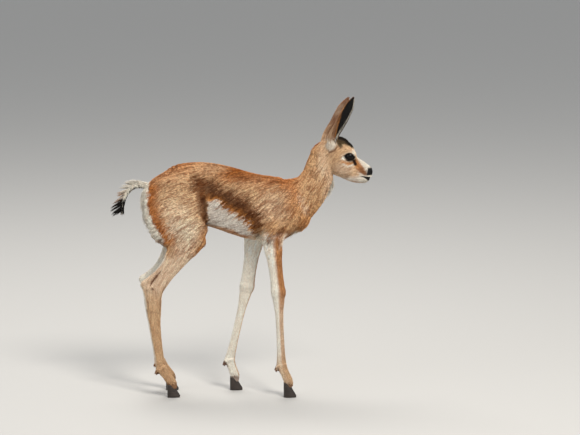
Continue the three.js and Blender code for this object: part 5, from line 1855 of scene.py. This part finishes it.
def add_node(tree: bpy.types.NodeTree, kind: str, values: dict | None = None,
             **settings: object) -> bpy.types.Node:
    """Adds a node.

    Args:
        tree: the tree that it goes into.
        kind: its type.
        values: values of its inputs.
        settings: values of its own settings.

    Returns:
        The node.
    """
    node = tree.nodes.new(kind)
    for name, value in settings.items():
        setattr(node, name, value)
    for name, value in (values or {}).items():
        node.inputs[name].default_value = value
    return node


def add_sockets(tree: bpy.types.NodeTree, *rows: tuple[str, str, str]) -> None:
    """Gives a tree its sockets, each from a direction, a name and a kind."""
    for way, name, kind in rows:
        tree.interface.new_socket(name, in_out=way, socket_type=f"NodeSocket{kind}")


def wire(tree: bpy.types.NodeTree, *links: tuple) -> None:
    """Links nodes, each link from a node and its output to a node and its input."""
    for source, output, target, entry in links:
        tree.links.new(source.outputs[output], target.inputs[entry])


@dataclass
class Strands:
    """Lashes and whiskers, each a fine cone set on a point."""

    lash_count: int = 46
    whisker_count: int = 46
    lash_width: float = 0.13
    whisker_width: float = 0.11
    lash_bend: float = 16.0
    whisker_bend: float = -30.0
    seed: int = 23

    @staticmethod
    def tree(material: bpy.types.Material) -> bpy.types.NodeTree:
        """The node tree that stands a bent cone on every point."""
        tree = bpy.data.node_groups.new("strands_on_points", "GeometryNodeTree")
        add_sockets(tree, ("INPUT", "Geometry", "Geometry"), ("INPUT", "Width", "Float"),
                    ("INPUT", "Bend", "Float"), ("OUTPUT", "Geometry", "Geometry"))
        given, result = add_node(tree, "NodeGroupInput"), add_node(tree, "NodeGroupOutput")
        cone = add_node(tree, "GeometryNodeMeshCone", {
            "Vertices": 4, "Side Segments": 4, "Radius Top": 0.12, "Radius Bottom": 1.0,
            "Depth": 1.0})
        place = add_node(tree, "GeometryNodeInputPosition")
        split = add_node(tree, "ShaderNodeSeparateXYZ")
        square, lift = (add_node(tree, "ShaderNodeMath", operation="MULTIPLY") for _ in range(2))
        offset, size = (add_node(tree, "ShaderNodeCombineXYZ") for _ in range(2))
        bent = add_node(tree, "GeometryNodeSetPosition")
        grow, long = (add_node(tree, "GeometryNodeInputNamedAttribute", {"Name": name},
                               data_type=kind)
                      for name, kind in (("grow", "FLOAT_VECTOR"), ("long", "FLOAT")))
        turn = add_node(tree, "FunctionNodeAlignRotationToVector", axis="Z")
        stand = add_node(tree, "GeometryNodeInstanceOnPoints")
        real = add_node(tree, "GeometryNodeRealizeInstances")
        finish = add_node(tree, "GeometryNodeSetMaterial", {"Material": material})
        wire(tree,
             (place, 0, split, 0), (split, "Z", square, 0), (split, "Z", square, 1),
             (square, 0, lift, 0), (given, "Bend", lift, 1), (lift, 0, offset, "X"),
             (cone, "Mesh", bent, "Geometry"), (offset, 0, bent, "Offset"),
             (grow, "Attribute", turn, "Vector"), (given, "Width", size, "X"),
             (given, "Width", size, "Y"), (long, "Attribute", size, "Z"),
             (given, "Geometry", stand, "Points"), (bent, "Geometry", stand, "Instance"),
             (turn, "Rotation", stand, "Rotation"), (size, 0, stand, "Scale"),
             (stand, "Instances", real, "Geometry"), (real, "Geometry", finish, "Geometry"),
             (finish, "Geometry", result, "Geometry"))
        return tree

    def lashes(self, rng: np.random.Generator) -> list[Array]:
        """Roots, ways and lengths of the lashes of both upper lids."""
        rows = []
        count = self.lash_count
        cos, sin = math.cos(EYE.slant), math.sin(EYE.slant)
        for s in SIDES.values():
            turn = np.linspace(0.15, math.pi - 0.35, count) + rng.normal(0, 0.02, count)
            u = np.cos(turn) * EYE.length / 2
            w = np.sin(turn) * EYE.height / 2 * (1 - 0.3 * np.cos(turn) ** 2)
            x = EYE.x + u * cos - w * sin
            z = EYE.z + u * sin + w * cos
            flat = np.hypot(x - EYE.x, z - EYE.z)
            y = EYE.y + np.sqrt(np.maximum((EYE.radius + EYE.bare) ** 2 - flat**2, 4.0))
            root = np.stack([x, s * y, z], axis=1)
            away = unit(root - EYE.centre(s))
            way = unit(away + np.array([0.15, s * 0.7, 0.35]) + rng.normal(0, 0.08, (count, 3)))
            rows.append((root - away * 0.4, way, rng.uniform(5.0, 7.5, count)))
        return joined(rows)

    def whiskers(self, flesh: Flesh, rng: np.random.Generator) -> tuple[Array, Array, Array]:
        """Roots, ways and lengths of the whiskers of lips and chin."""
        count = self.whisker_count
        s = np.where(np.arange(count) % 2, 1.0, -1.0)
        x = rng.uniform(270, 291, count)
        chin = rng.random(count) < 0.5
        z = np.where(chin, rng.uniform(497, 503, count), rng.uniform(512, 519, count))
        root = flesh.settle(np.stack([x, s * 11.0, z], axis=1), 4, 4.0)
        normal = flesh.normal(root)
        way = unit(normal + np.array([0.3, 0, -0.35]) + rng.normal(0, 0.15, (count, 3)))
        return root - normal * 0.5, way, rng.uniform(9, 20, count)

    def build(self, flesh: Flesh, material: bpy.types.Material) -> None:
        """Makes both pieces."""
        rng = np.random.default_rng(self.seed)
        tree = self.tree(material)
        for name, slot, width, bend, rows in (
            ("lashes", "eye", self.lash_width, self.lash_bend, self.lashes(rng)),
            ("whiskers", "coat", self.whisker_width, self.whisker_bend, self.whiskers(flesh, rng)),
        ):
            root, way, length = rows
            obj = new_object(name, root, [])
            grow = obj.data.attributes.new("grow", "FLOAT_VECTOR", "POINT")
            grow.data.foreach_set("vector", way.astype(np.float32).ravel())
            store(obj.data, "long", length * MM)
            modifier = obj.modifiers.new("strands", "NODES")
            modifier.node_group = tree
            values = {"Width": width * MM, "Bend": bend}
            for socket in tree.interface.items_tree:
                if socket.name in values:
                    modifier[socket.identifier] = values[socket.name]
            apply_modifiers(obj)
            dress(obj, material, slot)


@dataclass
class Eyeballs:
    """Wet dark eyes with a long level pupil and a clear bulge over it."""

    rings: int = 44
    spokes: int = 64
    bulge: float = 0.55
    iris: tuple = (0.006, 0.0028, 0.0016)
    pupil: tuple = (0.002, 0.002, 0.003)
    edge: tuple = (0.004, 0.003, 0.003)

    def build(self, material: bpy.types.Material) -> None:
        """Makes both eyeballs."""
        angle = np.linspace(0, math.pi, self.rings + 1)[1:-1]
        turn = np.arange(self.spokes) / self.spokes * 2 * math.pi
        reach = (EYE.radius + self.bulge * smooth(0.85, 0.35, angle))[:, None, None]
        for side, s in SIDES.items():
            centre, axis = EYE.centre(s), EYE.axis(s)
            level = unit(np.cross([0.0, 0.0, 1.0], axis))
            upright = np.cross(axis, level)
            around = np.cos(turn)[:, None] * level + np.sin(turn)[:, None] * upright
            ray = np.cos(angle)[:, None, None] * axis + np.sin(angle)[:, None, None] * around
            ends = [centre + axis * (EYE.radius + self.bulge), centre - axis * EYE.radius]
            points = np.concatenate([(centre + ray * reach).reshape(-1, 3), ends])
            obj = new_object(f"eyeball_{side}", points, self.faces(len(angle)))
            away = unit(points - centre)
            across, up = away @ level, away @ upright
            pupil = smooth(1.15, 0.9, np.hypot(across / 0.42, up / 0.2))[:, None]
            edge = smooth(0.70, 0.80, np.hypot(across, up))[:, None]
            iris = np.array(self.iris) * (1 + 0.4 * lattice_noise(away * 40, 3.0, 3))[:, None]
            tint = iris * (1 - pupil) + np.array(self.pupil) * pupil
            store(obj.data, "tint", tint * (1 - edge) + np.array(self.edge) * edge)
            dress(obj, material, "eye", f"eye_{side}")

    def faces(self, rows: int) -> list[list[int]]:
        """The faces between rows of points, and round the two points at the ends."""
        n = self.spokes
        tip = rows * n
        faces = []
        for k in range(n):
            m = (k + 1) % n
            faces += [[tip, k, m], [tip + 1, (rows - 1) * n + m, (rows - 1) * n + k]]
            faces += [[a + k, a + k + n, a + m + n, a + m] for a in range(0, tip - n, n)]
        return faces


@dataclass
class Hooves:
    """Eight claws, each a pointed half leaf on the ground with growth rings."""

    length: float = 30.0
    half: float = 6.2
    lean: float = 0.35
    spread: float = 7.0
    points: int = 44
    levels: tuple = (0, 0.006, 0.02, 0.05, 0.1, 0.18, 0.28, 0.4, 0.52, 0.64, 0.72, 0.77)

    def claw(self, coronet: tuple, y: float, digit: int) -> tuple[Array, list]:
        """Shapes one claw.

        Args:
            coronet: x and z of the hair line.
            y: the claw's place across the body.
            digit: 1 for a claw on the left of the foot, -1 for one on its right.

        Returns:
            Its points and faces.
        """
        height = coronet[1] - 0.2
        heel = coronet[0] - self.length * 0.47
        rise = np.array(self.levels) / self.levels[-1]
        long = np.interp(rise, [0, 0.06, 0.45, 1], [0.95, 1, 0.9, 0.78])
        wide = np.interp(rise, [0, 0.06, 0.45, 1], [0.95, 1, 0.96, 0.94])
        long[0], long[1] = 0.93, 0.965
        wide[0], wide[1] = 0.90, 0.95
        turn = np.arange(self.points) / self.points * 2 * math.pi
        toe = (1 + np.cos(turn)) / 2
        taper = np.sin(turn) * (1 - 0.55 * toe**2.2)
        outward = np.where(np.sign(taper) == digit, 1.1, 0.85)
        rows = []
        for share, span, girth in zip(rise, long, wide):
            drop = share * height
            ring = 0.18 * math.sin(share * 30) * (share > 0.1)
            x = heel + self.length * (toe * span + 0.05) - drop * self.lean * toe
            x = x + ring * np.cos(turn)
            side = taper * (self.half * girth + ring) * outward
            rows.append(np.stack([x, y + side, np.full(self.points, drop)], axis=1))
        top = rows[-1]
        inner = top.mean(axis=0)
        for shrink, drop in ((0.9, 0.6), (0.7, -1.0)):
            ring = inner + (top - inner) * shrink
            ring[:, 2] = height + drop
            rows.append(ring)
        return np.concatenate(rows), self.faces(len(rows))

    def faces(self, rows: int) -> list[list[int]]:
        """The faces between rows of points, with one over either end."""
        n = self.points
        last = (rows - 1) * n
        faces = []
        for first in range(0, last, n):
            for k in range(n):
                a, b = first + k, first + (k + 1) % n
                faces.append([a, b, b + n, a + n])
        return faces + [list(range(n))[::-1], list(range(last, last + n))]

    def build(self, material: bpy.types.Material) -> None:
        """Makes all eight claws."""
        for side, s in SIDES.items():
            coronets = {"fore": FORELEGS[side]["coronet"], "hind": moved(HIND["coronet"], side)}
            for leg, coronet in coronets.items():
                for digit in (-1, 1):
                    place = "outer" if digit == s else "inner"
                    shape = self.claw(coronet, s * STANCE + digit * self.spread, digit)
                    obj = new_object(f"claw_{leg}_{place}_{side}", *shape)
                    dress(obj, material, "hoof", f"{leg}_hoof_{place}_{side}")


@dataclass(frozen=True)
class Finish:
    """How a surface takes light, and how fine and deep its grain is."""

    roughness: float
    specular: float = 0.3
    bump: float = 0.0
    depth: float = 0.0006
    scale: float = 300.0
    stretch: tuple[float, float, float] = (1.0, 1.0, 1.0)


@dataclass
class Looks:
    """The materials."""

    horn_dark: tuple = (0.010, 0.008, 0.007)
    horn_light: tuple = (0.055, 0.038, 0.028)
    strand_colour: tuple = (0.012, 0.009, 0.007)

    def __post_init__(self) -> None:
        """Makes the shared group and every material."""
        self.group = self.grain_group()
        self.coat = self.material("Coat", Finish(0.85, 0.04))
        self.skin = self.material("SkinUnderCoat", Finish(0.8, 0.2, bump=0.35, scale=420.0))
        self.hair = self.material("LongHair", Finish(0.7, 0.10))
        self.eye = self.material("WetEye", Finish(0.06, 0.14))
        self.horn = self.horn_material(
            Finish(0.42, 0.4, bump=0.3, depth=0.0005, scale=260.0, stretch=(0.6, 0.6, 5.0)))
        self.strand = self.plain("Strand", self.strand_colour, 0.5)

    @staticmethod
    def grain_group() -> bpy.types.NodeTree:
        """A group that gives a stored tint a fine grain, and a height for bumps."""
        group = bpy.data.node_groups.new("Grain", "ShaderNodeTree")
        add_sockets(group, ("INPUT", "Scale", "Float"), ("INPUT", "Vector", "Vector"),
                    ("OUTPUT", "Tint", "Color"), ("OUTPUT", "Height", "Float"))
        given, result = add_node(group, "NodeGroupInput"), add_node(group, "NodeGroupOutput")
        tint = add_node(group, "ShaderNodeAttribute", attribute_name="tint")
        noise = add_node(group, "ShaderNodeTexNoise", {"Detail": 3.0})
        span = add_node(group, "ShaderNodeMapRange", {"To Min": 0.86, "To Max": 1.12})
        shade = add_node(group, "ShaderNodeVectorMath", operation="SCALE")
        wire(group,
             (given, "Scale", noise, "Scale"), (given, "Vector", noise, "Vector"),
             (noise, "Fac", span, "Value"), (tint, "Color", shade, 0),
             (span, "Result", shade, "Scale"), (shade, 0, result, "Tint"),
             (noise, "Fac", result, "Height"))
        return group

    @staticmethod
    def shader(name: str, finish: Finish) -> tuple[bpy.types.Material, bpy.types.Node]:
        """A material and its main shader with the uniform values set."""
        material = bpy.data.materials.new(name)
        material.use_nodes = True
        main = material.node_tree.nodes["Principled BSDF"]
        main.inputs["Roughness"].default_value = finish.roughness
        main.inputs["Specular IOR Level"].default_value = finish.specular
        return material, main

    def grained(self, name: str, finish: Finish) -> tuple:
        """Makes a material with the shared grain, fed with the object's own places.

        Args:
            name: the material's name.
            finish: how it takes light.

        Returns:
            The material, its main shader and the node of the grain.
        """
        material, main = self.shader(name, finish)
        tree = material.node_tree
        place = add_node(tree, "ShaderNodeTexCoord")
        stretch = add_node(tree, "ShaderNodeMapping", {"Scale": finish.stretch})
        grain = add_node(tree, "ShaderNodeGroup", {"Scale": finish.scale}, node_tree=self.group)
        wire(tree, (place, "Object", stretch, "Vector"), (stretch, "Vector", grain, "Vector"))
        if finish.bump:
            bump = add_node(tree, "ShaderNodeBump",
                            {"Strength": finish.bump, "Distance": finish.depth})
            wire(tree, (grain, "Height", bump, "Height"), (bump, "Normal", main, "Normal"))
        return material, main, grain

    def material(self, name: str, finish: Finish) -> bpy.types.Material:
        """A material that takes its colour from the stored tint."""
        material, main, grain = self.grained(name, finish)
        wire(material.node_tree, (grain, "Tint", main, "Base Color"))
        return material

    def horn_material(self, finish: Finish) -> bpy.types.Material:
        """Dark horn with fine growth lines."""
        material, main, grain = self.grained("Horn", finish)
        ramp = add_node(material.node_tree, "ShaderNodeValToRGB")
        for element, colour, place in zip(ramp.color_ramp.elements,
                                          (self.horn_dark, self.horn_light), (0.35, 0.75)):
            element.color = (*colour, 1)
            element.position = place
        wire(material.node_tree,
             (grain, "Height", ramp, "Fac"), (ramp, "Color", main, "Base Color"))
        return material

    def plain(self, name: str, colour: tuple, roughness: float) -> bpy.types.Material:
        """A material of one colour."""
        material, main = self.shader(name, Finish(roughness))
        main.inputs["Base Color"].default_value = (*colour, 1)
        return material


@dataclass
class Studio:
    """A pale floor, soft lights and the camera."""

    aim: tuple = (0.111, 0.0, 0.412)
    distance: float = 8.0
    elevation: float = math.radians(9.0)
    sensor: float = 36.0
    width: float = 1.334
    floor_half: float = 40.0
    floor_colour: tuple = (0.44, 0.43, 0.41)
    sky_colour: tuple = (0.93, 0.96, 1.0)
    sky_strength: float = 0.62
    lamps: tuple = (
        ("key", (1.4, -2.8, 3.2), 1.2, 170.0, (1.0, 0.96, 0.90)),
        ("fill", (-2.8, -2.2, 1.6), 2.4, 25.0, (0.95, 0.97, 1.0)),
        ("top", (-0.6, 1.4, 3.4), 1.8, 90.0, (1.0, 0.97, 0.93)),
    )

    def build(self, looks: Looks) -> None:
        """Makes the studio."""
        corners = np.array([(-1, -1, 0), (1, -1, 0), (1, 1, 0), (-1, 1, 0)])
        floor = new_object("floor", corners * self.floor_half / MM, [[0, 1, 2, 3]])
        floor.data.materials.append(looks.plain("Floor", self.floor_colour, 0.85))
        world = bpy.data.worlds.new("studio")
        bpy.context.scene.world = world
        bpy.context.scene.view_settings.view_transform = "Standard"
        world.use_nodes = True
        sky = world.node_tree.nodes["Background"]
        sky.inputs["Color"].default_value = (*self.sky_colour, 1)
        sky.inputs["Strength"].default_value = self.sky_strength
        for lamp in self.lamps:
            self.light(*lamp)
        self.camera()

    def light(self, name: str, place: tuple, size: float, power: float, colour: tuple) -> None:
        """A soft area light turned to the animal.

        Args:
            name: the lamp's name.
            place: where it stands, in metres.
            size: its width in metres.
            power: its power in watts.
            colour: its red, green and blue.
        """
        data = bpy.data.lights.new(name, "AREA")
        data.size = size
        data.energy = power
        data.color = colour
        self.aimed(name, data, Vector(place))

    def camera(self) -> None:
        """The camera at the photograph's angle."""
        data = bpy.data.cameras.new("camera")
        data.sensor_width = self.sensor
        data.lens = self.sensor * self.distance / self.width
        away = Vector((0.0, -math.cos(self.elevation), math.sin(self.elevation)))
        place = Vector(self.aim) + away * self.distance
        bpy.context.scene.camera = self.aimed("camera", data, place)

    def aimed(self, name: str, data: bpy.types.ID, place: Vector) -> bpy.types.Object:
        """A light or camera at a place, turned to the animal."""
        obj = bpy.data.objects.new(name, data)
        obj.location = place
        obj.rotation_euler = (Vector(self.aim) - place).to_track_quat("-Z", "Y").to_euler()
        bpy.context.scene.collection.objects.link(obj)
        return obj


FLESH_NODES = ["torso", "neck", "head"] + [
    f"{name}_{side}" for side in SIDES
    for name in ("ear", "thigh", "shank", "hock", "hind_cannon", "forearm", "fore_cannon",
                 "hind_pastern", "fore_pastern")
]


def main() -> None:
    """Builds the lamb and its studio."""
    logging.basicConfig(level=logging.INFO, format="%(relativeCreated)d %(message)s")
    looks = Looks()
    flesh = Flesh()
    skin = Skin(flesh)
    body = skin.build()
    painter = Painter(skin.ears)
    colour, _, _ = painter.look(*surface_of(body.data))
    store(body.data, "tint", colour * 0.8)
    dress(body, looks.skin, "coat", *FLESH_NODES)
    Coat(body, painter).build(looks.coat)
    Tail().build(looks.hair)
    LongHair().build(flesh, looks.hair)
    EarFringe().build(skin.ears, looks.hair)
    Strands().build(flesh, looks.strand)
    Eyeballs().build(looks.eye)
    Hooves().build(looks.horn)
    Studio().build(looks)
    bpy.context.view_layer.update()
    LOG.info("done")


if __name__ == "__main__":
    main()
